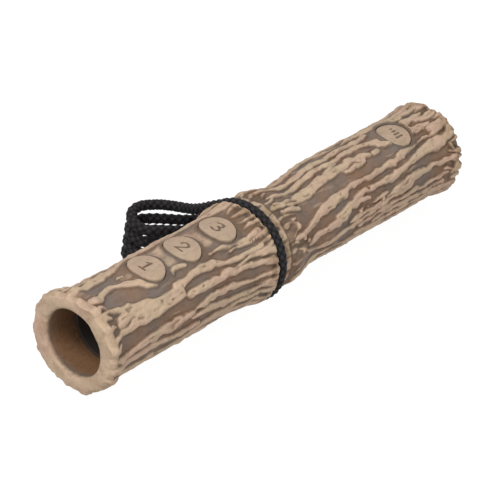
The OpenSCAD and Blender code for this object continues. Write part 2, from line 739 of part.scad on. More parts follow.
// Elastic band round the waist of the hank
module hank_tie() {
    stack_top = run_height(top_loop, waist_at) + cord_diameter / 2;
    inner = [2 * waist_half + cord_diameter + 2 * tie_gap, stack_top + tie_gap - tie_thickness];
    outer = inner + 2 * tie_thickness * [1, 1];
    color(seal_black) translate(hank_place(waist_at, 0, 0)) rotate([0, 0, atan(line_slope(waist_at))])
        translate([-tie_width / 2, 0, 0]) rotate([90, 0, 90]) linear_extrude(tie_width)
            translate([-outer[0] / 2, 0]) difference() {
                soft_rectangle(outer, 2);
                translate([tie_thickness, tie_thickness]) soft_rectangle(inner, 1.4);
            }
}

front_sleeve();
rear_sleeve();
fawn_pad();
doe_pad();
young_buck_pad();
volume_pad();
fawn_web();
doe_web();
young_buck_web();
volume_web();
reed_barrel();
tone_board();
reed();
reed_wedge();
reed_band();
stopper_seals();
coupling();
lanyard_noose();
lanyard_knot();
lanyard_lead_back();
lanyard_lead_out();
lanyard_hank();
hank_tie();
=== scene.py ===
import bpy
import math
import numpy as np
from mathutils import Matrix, Vector


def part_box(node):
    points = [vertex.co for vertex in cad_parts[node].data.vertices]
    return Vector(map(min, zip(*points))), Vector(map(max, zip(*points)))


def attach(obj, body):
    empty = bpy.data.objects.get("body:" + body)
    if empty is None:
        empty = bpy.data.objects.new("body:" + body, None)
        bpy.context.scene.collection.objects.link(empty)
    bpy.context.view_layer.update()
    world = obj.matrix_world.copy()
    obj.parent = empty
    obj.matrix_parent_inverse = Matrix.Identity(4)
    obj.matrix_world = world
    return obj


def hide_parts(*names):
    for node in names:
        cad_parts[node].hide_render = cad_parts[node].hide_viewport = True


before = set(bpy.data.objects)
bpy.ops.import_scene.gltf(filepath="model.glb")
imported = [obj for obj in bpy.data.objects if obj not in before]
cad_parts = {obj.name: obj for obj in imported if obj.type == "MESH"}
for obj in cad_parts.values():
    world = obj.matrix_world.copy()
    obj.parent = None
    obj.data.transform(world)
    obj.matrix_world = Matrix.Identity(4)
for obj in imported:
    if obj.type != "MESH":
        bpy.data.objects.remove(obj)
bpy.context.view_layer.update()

# View: a long lens looks past the mouth and down onto the pads, a little tilted,
# because the call lies slightly rolled on the table.
mm = 0.001
view_azimuth = math.radians(-54.8)
view_elevation = math.radians(35.0)
view_tilt = math.radians(10.2)
view_distance = 850 * mm
view_target = Vector((-7.9, -0.6, 19.4)) * mm
towards_viewer = Vector((
    math.sin(view_azimuth) * math.cos(view_elevation),
    -math.cos(view_azimuth) * math.cos(view_elevation),
    math.sin(view_elevation)))
lens = bpy.data.cameras.new("photo_view")
lens.lens = 163.6
lens.sensor_width = 36
lens.clip_start = 10 * mm
camera = bpy.data.objects.new("photo_view", lens)
camera.matrix_world = (
    Matrix.Translation(view_target + view_distance * towards_viewer)
    @ towards_viewer.to_track_quat("Z", "Y").to_matrix().to_4x4()
    @ Matrix.Rotation(view_tilt, 4, "Z"))
bpy.context.scene.collection.objects.link(camera)
bpy.context.scene.camera = camera
bpy.context.scene.view_settings.view_transform = "Standard"


# Table and light: a plain pale sheet under big soft lamps, as in a catalogue shot.
# The sheet shows almost white and keeps a soft shadow under the call.
class Wire:
    """A shader socket that takes part in Python sums; node() adds any other node to its tree."""

    def __init__(self, tree, socket=None):
        self.tree = tree
        self.socket = socket

    def node(self, kind, inputs, output=0, stops=None, **settings):
        made = self.tree.nodes.new(kind)
        for name, value in settings.items():
            setattr(made, name, value)
        if stops:
            marks = made.color_ramp.elements
            while len(marks) < len(stops):
                marks.new(1.0)
            for mark, (place, colour) in zip(marks, stops):
                mark.position = place
                mark.color = (*colour, 1.0)
        for name, value in inputs.items():
            if isinstance(value, Wire):
                self.tree.links.new(value.socket, made.inputs[name])
            else:
                made.inputs[name].default_value = value
        return Wire(self.tree, made.outputs[output] if made.outputs else None)

    def sums(self, operation, first, second):
        return self.node("ShaderNodeMath", {0: first, 1: second}, operation=operation)

    def __add__(self, other):
        return self.sums("ADD", self, other)

    __radd__ = __add__

    def __sub__(self, other):
        return self.sums("SUBTRACT", self, other)

    def __rsub__(self, other):
        return self.sums("SUBTRACT", other, self)

    def __mul__(self, other):
        return self.sums("MULTIPLY", self, other)

    __rmul__ = __mul__

    def __pow__(self, other):
        return self.sums("POWER", self, other)


def empty_tree(owner):
    """The wire of a material or world whose node tree holds nothing yet."""
    owner.use_nodes = True
    owner.node_tree.nodes.clear()
    return Wire(owner.node_tree)


def seen_directly(wire):
    """1 for the camera and for mirror-like and clear surfaces, 0 for light that spreads."""
    rays = [wire.node("ShaderNodeLightPath", {}, output=f"Is {kind} Ray")
            for kind in ("Camera", "Glossy", "Transmission")]
    return rays[0] + rays[1] + rays[2]


sheet_grey = (0.42, 0.42, 0.42, 1)
sheet_shade = (0.10, 0.10, 0.10, 1)
sheet_glow = 0.955
sheet_side = 4.0
sheet_drop = 0.2 * mm
bpy.ops.mesh.primitive_plane_add(size=sheet_side, location=(0, 0, -sheet_drop))
table_sheet = bpy.context.object
table_sheet.name = "table_sheet"
table_look = bpy.data.materials.new("table_sheet")
wire = empty_tree(table_look)
shaded = wire.node("ShaderNodeBsdfDiffuse", {"Color": sheet_shade})
glow = wire.node("ShaderNodeEmission", {"Color": (1, 1, 1, 1), "Strength": sheet_glow})
shown = wire.node("ShaderNodeAddShader", {0: shaded, 1: glow})
bounced = wire.node("ShaderNodeBsdfDiffuse", {"Color": sheet_grey})
sheet_surface = wire.node("ShaderNodeMixShader", {0: seen_directly(wire), 1: bounced, 2: shown})
wire.node("ShaderNodeOutputMaterial", {"Surface": sheet_surface})
table_sheet.data.materials.append(table_look)

room_light = 0.38
world = bpy.data.worlds.new("white_room")
bpy.context.scene.world = world
wire = empty_tree(world)
strength = room_light + (1 - room_light) * seen_directly(wire)
background = wire.node("ShaderNodeBackground", {"Color": (1, 1, 1, 1), "Strength": strength})
wire.node("ShaderNodeOutputWorld", {"Surface": background})

lamp_target = Vector((0, 0, 0.02))


def soft_lamp(name, place, side, watts):
    """A square lamp that faces the call."""
    data = bpy.data.lights.new(name, "AREA")
    data.size = side
    data.energy = watts
    lamp = bpy.data.objects.new(name, data)
    lamp.location = Vector(place)
    lamp.rotation_euler = (lamp_target - lamp.location).to_track_quat("-Z", "Y").to_euler()
    bpy.context.scene.collection.objects.link(lamp)


soft_lamp("key_lamp", (-0.62, 0.10, 0.80), 0.35, 6.4)
soft_lamp("front_lamp", (-0.90, -0.30, 0.30), 0.50, 2.2)
soft_lamp("side_lamp", (-0.10, -0.95, 0.50), 0.70, 5.0)
soft_lamp("back_lamp", (0.45, 0.45, 0.85), 0.50, 2.4)

# Lanyard cord: one length of black braid, four millimetres thick and limp.
# It leaves the groove behind the call, lies folded in a hank of long loops, and ends in its knot.
axis_low, axis_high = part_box("coupling")
axis_height = (axis_low.z + axis_high.z) / 2 / mm
noose_low, noose_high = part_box("lanyard_noose")
groove_x = (noose_low.x + noose_high.x) / 2 / mm
cord_thick = (noose_high.x - noose_low.x) / mm
noose_radius = (noose_high.z - noose_low.z) / 2 / mm - cord_thick / 2


def round_axis(x, angle, radius):
    """Points in millimetres at an angle from the top towards the viewer's side."""
    a = np.radians(angle)
    return np.stack(np.broadcast_arrays(x, -radius * np.sin(a), axis_height + radius * np.cos(a)), -1)


def ease(t):
    """From 0 to 1 with soft ends."""
    t = np.clip(t, 0, 1)
    return t * t * (3 - 2 * t)


def smooth_route(points, steps):
    """A rounded line through listed points, with the given steps from each to the next."""
    p = np.asarray(points, float)
    p = np.vstack([p[:1], p, p[-1:]])
    t = np.arange(steps)[:, None] / steps
    runs = [b + t / 2 * (c - a) + t**2 / 2 * (2 * a - 5 * b + 4 * c - d)
            + t**3 / 2 * (3 * b - a - 3 * c + d)
            for a, b, c, d in zip(p, p[1:], p[2:], p[3:])]
    return np.vstack([*runs, p[-1:]])


def even_route(points, step):
    """The same line with its points evenly spaced."""
    walked = np.concatenate([[0], np.cumsum(np.linalg.norm(np.diff(points, axis=0), axis=1))])
    places = np.linspace(0, walked[-1], int(round(walked[-1] / step)) + 1)
    return np.stack([np.interp(places, walked, points[:, k]) for k in range(points.shape[1])], 1)


hank_start = -21.7
hank_stand = 12.2
hank_bend = 38.0
hank_line = 24.6
hank_layers = 4
hank_run = 58.0
upper_reach = 28.0
hank_bight = 8.0
layer_step = cord_thick + 0.7
near_step = cord_thick + 1.4
waist_at = 8.0
waist_half = 2.6
waist_rise = 1.3
lift_reach = 20.0
climb_start = 4.0
climb_length = 24.0
last_rise = 1.0
run_steps = 24
bight_steps = 16
top_loop = hank_layers - 2
lower_end = hank_start + hank_run
upper_end = lower_end + upper_reach
lower_tip = lower_end + hank_bight


def hank_slope(x):
    """How far the hank's line turns from the call's, which it does only near its start."""
    return -2 * hank_stand / hank_bend * np.maximum(0, 1 - (x - hank_start) / hank_bend)


def hank_place(x, across, z):
    """A point of the hank: its place along the call, its distance from the hank's line, its height."""
    slope = hank_slope(x)
    line = hank_line + hank_stand * np.maximum(0, 1 - (x - hank_start) / hank_bend) ** 2
    length = np.hypot(1, slope)
    return np.stack(np.broadcast_arrays(x - across * slope / length, line + across / length, z), -1)


def hank_route():
    """Loops drawn in at the waist: near runs climb a layer each, and the top loop's far end drops."""
    turn = np.pi * np.arange(bight_steps + 1) / bight_steps
    part = np.arange(1, run_steps) / run_steps
    heading = np.array([1, hank_slope(hank_start), 0]) / np.hypot(1, hank_slope(hank_start))
    route = []
    for n in range(hank_layers):
        level = cord_thick / 2 + n * layer_step
        near_level = cord_thick / 2 + n * near_step
        rise = last_rise if n > top_loop else 0
        bend_level = near_level + rise * (1 - np.cos(turn)) / 2
        near_bend = hank_place(hank_start, -hank_bight * np.cos(turn), bend_level)
        route.append(near_bend - hank_bight * np.sin(turn)[:, None] * heading)
        if n > top_loop:
            break
        far_end, opens, drop = ((lower_end, waist_at, 0) if n < top_loop
                                else (upper_end, lower_tip, top_loop * layer_step))
        x = hank_start + (far_end - hank_start) * part
        half = waist_half + (hank_bight - waist_half) * (
            ease((waist_at - x) / (waist_at - hank_start)) + ease((x - opens) / (far_end - opens)))
        height = (level + waist_rise * (1 - ease(np.abs(x - waist_at) / lift_reach))
                  - drop * ease((x - lower_tip) / upper_reach))
        towards_near = ease((climb_start - x) / climb_length)
        tip = far_end + hank_bight * np.sin(turn)
        tip_level = level - drop * ease((tip - lower_tip) / upper_reach)
        route.append(hank_place(x, half, height + (near_level - level) * towards_near))
        route.append(hank_place(tip, hank_bight * np.cos(turn), tip_level))
        route.append(hank_place(x, -half, height + (near_level + near_step - level) * towards_near)[::-1])
    return np.vstack(route)


entry_angle = 320
groove_entry = round_axis(groove_x, entry_angle, noose_radius)
knot_angle = 230
knot_radius = 24.6
knot_middle = round_axis(groove_x, knot_angle, knot_radius)
lead_steps = 8
hank = hank_route()
lead_back = smooth_route([
    groove_entry, (-11.2, 17.2, 30.9), (-11, 22.4, 26.8), (-9.8, 27.4, 23.2), (-8.9, 32.2, 20.6),
    (-9.9, 36.8, 19.3), (-13.2, 40.6, 19.2), hank[-1]], lead_steps)
lead_out = smooth_route([
    hank[0], (-23, 28.4, 2.1), (-19.6, 26.5, 2.2), (-15.6, 24.2, 2.5), (-12.6, 21.8, 3.4),
    knot_middle], lead_steps)
cord_route = np.vstack([lead_back, hank[-2:0:-1], lead_out])


def new_piece(name, points, faces, body, look):
    """A mesh in millimetres, put into the scene in metres, shaded smooth and riding on its body."""
    mesh = bpy.data.meshes.new(name)
    mesh.from_pydata(np.asarray(points) * mm, [], faces)
    mesh.polygons.foreach_set("use_smooth", np.ones(len(mesh.polygons), bool))
    mesh.materials.append(look)
    piece = bpy.data.objects.new(name, mesh)
    bpy.context.scene.collection.objects.link(piece)
    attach(piece, body)
    return piece


def grid_faces(rows, sides, closed=False, first=0):
    """Quads between rings of points; open ends get a cap."""
    row = np.arange(rows if closed else rows - 1)[:, None]
    side = np.arange(sides)[None, :]
    here = row * sides
    there = (row + 1) % rows * sides
    after = (side + 1) % sides
    quads = np.stack(np.broadcast_arrays(here + side, here + after, there + after, there + side), -1)
    faces = (quads.reshape(-1, 4) + first).tolist()
    if not closed:
        ring = np.arange(sides) + first
        faces += [ring[::-1].tolist(), (ring + (rows - 1) * sides).tolist()]
    return faces


def paint_points(piece, name, values):
    """Keeps one value per point on a mesh, for its material to read."""
    layer = piece.data.attributes.new(name, "FLOAT", "POINT")
    layer.data.foreach_set("value", np.asarray(values, np.float32).ravel())


first_upper = (0.13, 0.31, 0.94)


def carried_frames(route, closed=False):
    """Directions along a line, with a side and an upper direction carried on without twist."""
    ahead = np.roll(route, -1, 0) - np.roll(route, 1, 0)
    if not closed:
        ahead[0] = route[1] - route[0]
        ahead[-1] = route[-1] - route[-2]
    ahead /= np.linalg.norm(ahead, axis=1)[:, None]
    side = np.empty_like(route)
    side[0] = np.cross(ahead[0], first_upper)
    for i in range(len(route)):
        if i:
            side[i] = side[i - 1]
        side[i] -= ahead[i] * (side[i] @ ahead[i])
        side[i] /= np.linalg.norm(side[i])
    return ahead, side, np.cross(ahead, side)


strands_each_way = 4
stitch_length = 2.9
strand_half = 0.54


def braid(walked, turn):
    """Height from 0 to 1 of a braid whose strands pass over and under each other both ways round."""
    one = strands_each_way * turn / (2 * np.pi) + walked / stitch_length
    other = strands_each_way * turn / (2 * np.pi) - walked / stitch_length

    def strand(place, crossed, start):
        middle = np.round(place)
        rounded = np.sqrt(np.clip(1 - ((place - middle) / strand_half) ** 2, 0, 1))
        return rounded * (0.5 + 0.5 * np.cos(np.pi * (crossed + middle + start)))

    return np.maximum(strand(one, other, 0), strand(other, one, 1))


cord_sides = 34
ring_step = 0.31
braid_swell = 0.2
braid_depth = 0.75


def braided_tube(route, thick, closed=False):
    """Points and strand heights of a braided cord about a line."""
    ahead, side, upper = carried_frames(route, closed)
    turn = 2 * np.pi * np.arange(cord_sides)[None, :] / cord_sides
    steps = np.linalg.norm(np.diff(route, axis=0), axis=1)
    walked = np.concatenate([[0], np.cumsum(steps)])[:, None]
    if closed:
        whole = walked[-1] + np.linalg.norm(route[0] - route[-1])
        stitches = 2 * np.round(whole / stitch_length / 2)
        walked = walked * stitches * stitch_length / whole
    strand = braid(walked, turn)
    radius = thick / 2 + braid_swell - braid_depth * (1 - strand)
    ring = np.cos(turn)[..., None] * side[:, None] + np.sin(turn)[..., None] * upper[:, None]
    return (route[:, None] + radius[..., None] * ring).reshape(-1, 3), strand


def surface_place(wire):
    """The place on a piece that its textures are laid by."""
    return wire.node("ShaderNodeTexCoord", {}, output="Object")


def point_value(wire, name):
    """A value that the mesh keeps at its points."""
    return wire.node("ShaderNodeAttribute", {}, output="Fac", attribute_name=name)


def noise(place, scale, detail):
    """Random light and dark, from 0 to 1."""
    return place.node("ShaderNodeTexNoise", {"Vector": place, "Scale": scale, "Detail": detail})


def tint(share, first, second):
    """The first colour where the share is 0, the second where it is 1."""
    first, second = (end if isinstance(end, Wire) else (*end, 1) for end in (first, second))
    return share.node("ShaderNodeMix", {0: share, 6: first, 7: second}, output=2, data_type="RGBA")


def dented(height, strength, distance):
    """A surface direction that shows small heights."""
    return height.node("ShaderNodeBump", {"Height": height, "Strength": strength, "Distance": distance})


def coat(wire, sockets):
    """Closes a material with one surface."""
    surface = wire.node("ShaderNodeBsdfPrincipled", sockets)
    wire.node("ShaderNodeOutputMaterial", {"Surface": surface})


cord_black = (0.0015, 0.0013, 0.0014)
cord_painted_sheen = (0.030, 0.027, 0.029)
cord_look = bpy.data.materials.new("braided_cord")
wire = empty_tree(cord_look)
strand_height = point_value(wire, "strand")
fibre_place = surface_place(wire)
fibres = noise(fibre_place, 2600, 3)
patches = noise(fibre_place, 160, 2)
# Painted sheen and shade: the braid's raised strands are painted lighter and its crevices darker, in
# patches.
raised = strand_height**2 * (0.45 + 0.9 * patches) * (0.5 + fibres)
coat(wire, {
    "Base Color": tint(raised, cord_black, cord_painted_sheen), "Roughness": 0.80 - 0.25 * strand_height,
    "Normal": dented(fibres, 0.5, 0.12 * mm), "Specular IOR Level": 0.10})

even_cord = even_route(cord_route, ring_step)
cord_points, cord_strands = braided_tube(even_cord, cord_thick)
lanyard = new_piece("lanyard", cord_points, grid_faces(len(even_cord), cord_sides), "call_body", cord_look)
paint_points(lanyard, "strand", cord_strands)
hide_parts("lanyard_hank", "lanyard_lead_back", "lanyard_lead_out")

# Noose: the same braid, drawn tight round the coupling in the groove between the two sleeves.
# It holds the lanyard on the call.
noose_rings = int(2 * np.pi * noose_radius / ring_step / 2) * 2
noose_line = round_axis(groove_x, 360 * np.arange(noose_rings) / noose_rings, noose_radius)
noose_points, noose_strands = braided_tube(noose_line, cord_thick, closed=True)
noose = new_piece("lanyard_noose_braid", noose_points, grid_faces(noose_rings, cord_sides, closed=True),
                  "call_body", cord_look)
paint_points(noose, "strand", noose_strands)
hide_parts("lanyard_noose")

# Knot: the cord's end is tied off behind the call in a tight overhand knot.
# A short neck of cord joins it to the noose.
knot_scale = 0.78
knot_lift = 1.3
knot_cord = 2.9
knot_rings = 220
knot_turn = 2 * np.pi * np.arange(knot_rings) / knot_rings
knot_line = knot_middle + knot_scale * np.stack([
    np.sin(knot_turn) + 2 * np.sin(2 * knot_turn),
    np.cos(knot_turn) - 2 * np.cos(2 * knot_turn),
    -knot_lift * np.sin(3 * knot_turn)], -1)
knot_points, knot_strands = braided_tube(knot_line, knot_cord, closed=True)
neck_start = round_axis(groove_x, knot_angle, noose_radius)
neck_line = even_route(np.array([neck_start, knot_middle]), ring_step)
neck_points, neck_strands = braided_tube(neck_line, cord_thick)
knot = new_piece(
    "lanyard_overhand_knot", np.vstack([knot_points, neck_points]),
    grid_faces(knot_rings, cord_sides, closed=True)
    + grid_faces(len(neck_line), cord_sides, first=len(knot_points)),
    "call_body", cord_look)
paint_points(knot, "strand", np.concatenate([knot_strands.ravel(), neck_strands.ravel()]))
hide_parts("lanyard_knot")

# Hank tie: a flat black elastic band round the waist of the hank.
# It is woven, with two bound edges, and it is stretched round the strands.
tie_low, tie_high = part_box("hank_tie")
tie_width = 6.0
tie_thick = 0.8
tie_room = 1.0
tie_across = 2 * waist_half + cord_thick + tie_room
tie_tall = (tie_high.z - tie_low.z) / mm - tie_thick
tie_corner = 1.9
tie_step = 0.5
corner_turn = np.radians(np.arange(0, 91, 10))
tie_path = []
for quarter, (across, up) in enumerate(((1, 1), (-1, 1), (-1, -1), (1, -1))):
    bend = corner_turn + quarter * np.pi / 2
    tie_path.append(np.stack([
        across * (tie_across / 2 + tie_thick / 2 - tie_corner) + tie_corner * np.cos(bend),
        tie_thick / 2 + tie_tall / 2 + up * (tie_tall / 2 - tie_corner) + tie_corner * np.sin(bend)], -1))
tie_path = np.vstack(tie_path)
tie_path = even_route(np.vstack([tie_path, tie_path[:1]]), tie_step)[:-1]
tie_ahead = np.roll(tie_path, -1, 0) - np.roll(tie_path, 1, 0)
tie_out = np.stack([tie_ahead[:, 1], -tie_ahead[:, 0]], -1)
tie_out /= np.linalg.norm(tie_out, axis=1)[:, None]
tie_sides = 28
squareness = 0.35
bound_swell = 0.35
bound_width = 0.35
bound_inset = 0.5
section_turn = 2 * np.pi * np.arange(tie_sides) / tie_sides
section_along = tie_width / 2 * np.sign(np.cos(section_turn)) * np.abs(np.cos(section_turn)) ** squareness
from_edge = np.abs(section_along) - tie_width / 2 + bound_inset
bound_edge = 1 + bound_swell * np.exp(-(from_edge / bound_width) ** 2)
section_out = tie_thick / 2 * np.sin(section_turn) * bound_edge
tie_flat = tie_path[:, None] + section_out[None, :, None] * tie_out[:, None]
tie_slope = hank_slope(waist_at)
tie_along = np.array([1, tie_slope, 0]) / math.hypot(1, tie_slope)
tie_side = np.array([-tie_slope, 1, 0]) / math.hypot(1, tie_slope)
tie_points = (hank_place(waist_at, 0, 0) + section_along[None, :, None] * tie_along
              + tie_flat[..., :1] * tie_side + tie_flat[..., 1:] * np.array([0, 0, 1])).reshape(-1, 3)

band_black = (0.012, 0.012, 0.013)
band_worn = (0.045, 0.044, 0.046)
elastic_look = bpy.data.materials.new("tie_elastic")
wire = empty_tree(elastic_look)
band_place = surface_place(wire)
ribs = wire.node("ShaderNodeTexWave", {"Vector": band_place, "Scale": 420, "Distortion": 1.5, "Detail": 1},
                 output=1, bands_direction="Z")
band_wear = noise(band_place, 300, 3)
coat(wire, {
    "Base Color": tint(ribs * band_wear, band_black, band_worn), "Roughness": 0.62 + 0.2 * band_wear,
    "Normal": dented(ribs, 0.6, 0.15 * mm), "Specular IOR Level": 0.3})
tie = new_piece("hank_elastic", tie_points, grid_faces(len(tie_path), tie_sides, closed=True), "call_body",
                elastic_look)
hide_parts("hank_tie")

# Sleeves: soft rubber, moulded as shed antler and painted in two tones.
# The raised ridges are tan, and the flat valleys between them and the moulded hollows are grey-brown.
valley_brown = (0.190, 0.115, 0.072)
valley_grey = (0.152, 0.119, 0.100)
ridge_rose = (0.440, 0.304, 0.224)
ridge_straw = (0.428, 0.322, 0.216)
bore_brown = (0.215, 0.116, 0.060)


def rubber_look(name, high_colours, low_colours):
    """Two-tone painted rubber: the mesh says where the tan lies and where dirt and painted shade gather.
    """
    look = bpy.data.materials.new(name)
    wire = empty_tree(look)
    place = surface_place(wire)
    paint = point_value(wire, "paint")
    grime_and_painted_shade = point_value(wire, "grime_and_painted_shade")
    along = wire.node("ShaderNodeMapping", {"Vector": place, "Scale": (0.22, 1, 1)})
    streaks = noise(along, 850, 3)
    clouds = noise(place, 130, 3)
    flecks = noise(place, 900, 4)
    grain = noise(place, 2400, 2)
    drift = noise(place, 60, 2)
    pocks = noise(place, 620, 1)
    # Pits: the dents of the bump, which the colour darkens a little as painted shade.
    pits = wire.node("ShaderNodeValToRGB", {"Fac": pocks}, stops=[(0.30, (1, 1, 1)), (0.43, (0, 0, 0))])
    share = wire.node("ShaderNodeValToRGB", {"Fac": drift}, stops=[(0.36, (0, 0, 0)), (0.64, (1, 1, 1))])
    rubbed = paint + 0.30 * (clouds - 0.5) + 0.30 * (streaks - 0.5) + 0.16 * (flecks - 0.5)
    edge = wire.node("ShaderNodeValToRGB", {"Fac": rubbed}, stops=[(0.16, (0, 0, 0)), (0.80, (1, 1, 1))])
    inside = wire.node("ShaderNodeMath", {0: -1 * paint, 1: 0.0}, operation="MAXIMUM")
    unpainted = tint(inside, tint(share, *low_colours), bore_brown)
    coloured = tint(edge, unpainted, tint(share, *high_colours))
    lighter = 0.60 + 0.28 * clouds + 0.30 * streaks + 0.20 * flecks
    # Darker and warmer brown where the mesh keeps grime and painted shade.
    lighter = lighter * (1 - 0.58 * grime_and_painted_shade) * (1 - 0.12 * pits)
    shade = wire.node("ShaderNodeCombineColor", {
        "Red": lighter, "Green": lighter * (1 - 0.10 * grime_and_painted_shade), "Blue": lighter * (1 - 0.26 * grime_and_painted_shade)})
    mottled = wire.node("ShaderNodeMix", {0: 1.0, 6: coloured, 7: shade}, output=2, data_type="RGBA",
                        blend_type="MULTIPLY")
    coat(wire, {
        "Base Color": mottled, "Roughness": 0.52 + 0.22 * flecks, "Specular IOR Level": 0.2,
        "Normal": dented(0.5 * streaks + 0.15 * grain + 0.6 * pocks, 0.6, 0.5 * mm)})
    return look


antler_look = rubber_look("antler_rubber", (ridge_rose, ridge_straw), (valley_brown, valley_grey))

skin_radius = 17.8
skin_reach = 240
degree = math.radians(skin_radius)  # millimetres round the skin for one degree


def patchy(u, a, size, seed, stretch=1.0):
    """Smooth seeded noise from -1 to 1 over the skin: patches of a size, stretched along the call."""
    draw = np.random.default_rng(seed)
    columns = max(4, int(round(360 * degree / size)))
    lattice = draw.uniform(-1, 1, (int(skin_reach / size / stretch) + 4, columns))
    x = u / size / stretch + 1
    y = (a % 360) / 360 * columns
    i, j = np.floor(x).astype(int), np.floor(y).astype(int)
    fx, fy = ease(x - i), ease(y - j)
    near = lattice[i, j % columns] * (1 - fy) + lattice[i, (j + 1) % columns] * fy
    far = lattice[i + 1, j % columns] * (1 - fy) + lattice[i + 1, (j + 1) % columns] * fy
    return near * (1 - fx) + far * fx


def from_top(a):
    """Angles from -180 to 180 with 0 at the top."""
    return (a + 180) % 360 - 180


outside_all = -9.0
stroke_margin = 3
stroke_steps = 8


def stroke_depth(u, a, stroke):
    """How deep the skin lies inside a stroke of (along, angle, half width), below 0 outside."""
    line = np.asarray(stroke, float)
    if len(line) > 1:
        line = smooth_route(line, stroke_steps)
    depth = np.full(u.shape, outside_all)
    margin = line[:, 2].max() + stroke_margin
    inside = (u > line[:, 0].min() - margin) & (u < line[:, 0].max() + margin)
    turned = from_top(a - line[:, 1].mean()) + line[:, 1].mean()
    inside &= (turned > line[:, 1].min() - margin / degree) & (turned < line[:, 1].max() + margin / degree)
    here_u, here_a = u[inside], turned[inside]
    best = np.full(here_u.shape, outside_all)
    for along, angle, half in line:
        np.maximum(best, half - np.hypot(here_u - along, (here_a - angle) * degree), out=best)
    depth[inside] = best
    return depth


def drawn_depth(u, a, ridges, hollows=()):
    """How deep each point lies inside the drawn ridges, below 0 in the valleys and hollows."""
    depth = np.full(u.shape, outside_all)
    for stroke in ridges:
        np.maximum(depth, stroke_depth(u, a, stroke), out=depth)
    for stroke in hollows:
        np.minimum(depth, -stroke_depth(u, a, stroke), out=depth)
    return depth


back_count = 16
back_first = 114
back_spread = 14


def back_ridges(start, end):
    """Ridges of the far side: evenly spread, wandering in two waves, and swelling and thinning."""
    u = np.arange(start, end, 4.0)
    turn = 2 * np.pi * u
    ridges = []
    for k in range(back_count):
        angle = back_first + back_spread * k + 5 * np.sin(turn / 72 + math.radians(47 * k))
        angle = angle + 3 * np.sin(turn / 31 + math.radians(83 * k))
        half = 1.2 + 0.7 * np.sin(turn / 46 + math.radians(131 * k))
        ridges.append(np.stack([u, angle, half], 1))
    return ridges


def wandered(u, a, seed):
    """Places pushed about a little, so that drawn lines come out uneven, as grown ones are."""
    bent_u = u + 0.8 * patchy(u, a, 5, seed)
    bent_a = a + (0.55 * patchy(u, a, 4, seed + 1) + 0.22 * patchy(u, a, 1.5, seed + 2)) / degree
    return bent_u, bent_a


def rounded(depth):
    """A ridge's height from 0 to 1: steep at its foot and round on top."""
    return 1 - (1 - np.clip((depth + 0.35) / 1.5, 0, 1)) ** 2


def fine_lines(u, a, bent_u, bent_a, seed):
    """Long thin lines in the valleys, strong in some places and absent in others."""
    return (ease((patchy(bent_u, bent_a, 1.25, seed, 7) - 0.1) / 0.6)
            * ease(0.6 + patchy(u, a, 9, seed + 1)))


def ridge_pits(bent_u, bent_a, depth, seed):
    """Small pits in the backs of the ridges."""
    return ease((patchy(bent_u, bent_a, 1.3, seed, 1.7) - 0.42) / 0.35) * ease((depth - 0.5) / 0.8)


def small_waves(u, a, seed):
    """Low unevenness of the whole skin, in millimetres."""
    return 0.20 * patchy(u, a, 3.2, seed) + 0.20 * patchy(u, a, 0.9, seed + 1, 3)


def foot_shade(u, a, depth, seed):
    """Painted shade along the foot of each ridge, where the crease lies in shadow."""
    return 0.65 * np.exp(-((depth + 0.35) / 0.42) ** 2) * (0.65 + 0.45 * patchy(u, a, 3, seed))


def stations(profile, u):
    """Radius at each place along a profile of (along, radius), eased from each station to the next."""
    along = np.array([p[0] for p in profile])
    radius = np.array([p[1] for p in profile])
    k = np.clip(np.searchsorted(along, u, side="right") - 1, 0, len(along) - 2)
    return radius[k] + (radius[k + 1] - radius[k]) * ease((u - along[k]) / (along[k + 1] - along[k]))


def oval_reach(u, a, middle, along, across):
    """Distance from a pad's middle in pad half-widths."""
    return np.hypot(2 * (u - middle) / along, 2 * from_top(a) * degree / across)


hole_sides = 96
hole_from = 6
hole_to = 30
sharp_edge = math.radians(55)


def cut_ovals(piece, middles, along, across):
    """Oval holes through the top wall, for the pads to sink into."""
    oval = 2 * np.pi * np.arange(hole_sides) / hole_sides
    points, faces = [], []
    for middle in middles:
        outline = np.stack([middle + along / 2 * np.cos(oval), across / 2 * np.sin(oval)], -1)
        faces += grid_faces(2, len(oval), first=len(points) * len(oval))
        for height in (axis_height + hole_from, axis_height + hole_to):
            points.append(np.column_stack([outline, np.full(len(oval), height)]))
    mesh = bpy.data.meshes.new("oval_cutter")
    mesh.from_pydata(np.vstack(points) * mm, [], faces)
    cutter = bpy.data.objects.new("oval_cutter", mesh)
    bpy.context.scene.collection.objects.link(cutter)
    cut = piece.modifiers.new("oval_holes", "BOOLEAN")
    cut.operation = "DIFFERENCE"
    cut.solver = "EXACT"
    cut.object = cutter
    bpy.context.view_layer.objects.active = piece
    bpy.ops.object.modifier_apply(modifier=cut.name)
    bpy.data.objects.remove(cutter)
    piece.data.set_sharp_from_angle(angle=sharp_edge)


pad_names = ("fawn_pad", "doe_pad", "young_buck_pad", "volume_pad")
pad_boxes = {name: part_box(name) for name in pad_names}
pad_along = (pad_boxes["fawn_pad"][1].x - pad_boxes["fawn_pad"][0].x) / mm
pad_across = (pad_boxes["fawn_pad"][1].y - pad_boxes["fawn_pad"][0].y) / mm
pad_middle = {name: (low.x + high.x) / 2 / mm for name, (low, high) in pad_boxes.items()}
hole_gap = 0.35
skin_sides = 320
skin_rows = 268
ridge_height = 1.25
valley_sink = 0.55
pit_depth = 0.35
seat_swell = 0.45
seat_reach = 1.15

# Front sleeve: the mouthpiece half, with a plain rounded burr at the mouth and a flared, scalloped edge
# that keeps the noose in its groove. Its ridges run along from the burr and part round the pads.
front_low, front_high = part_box("front_sleeve")
mouth_x = front_low.x / mm
front_length = (front_high.x - front_low.x) / mm
front_profile = [
    (0, 18.5), (1.6, 19.3), (5, 18.8), (10, 17.2), (67, 17.3), (78, 17.9), (88, 20.0), (89, 19.4)]
mouth_depth = 15.0
mouth_bore = 13.0
chamber_bore = 14.0
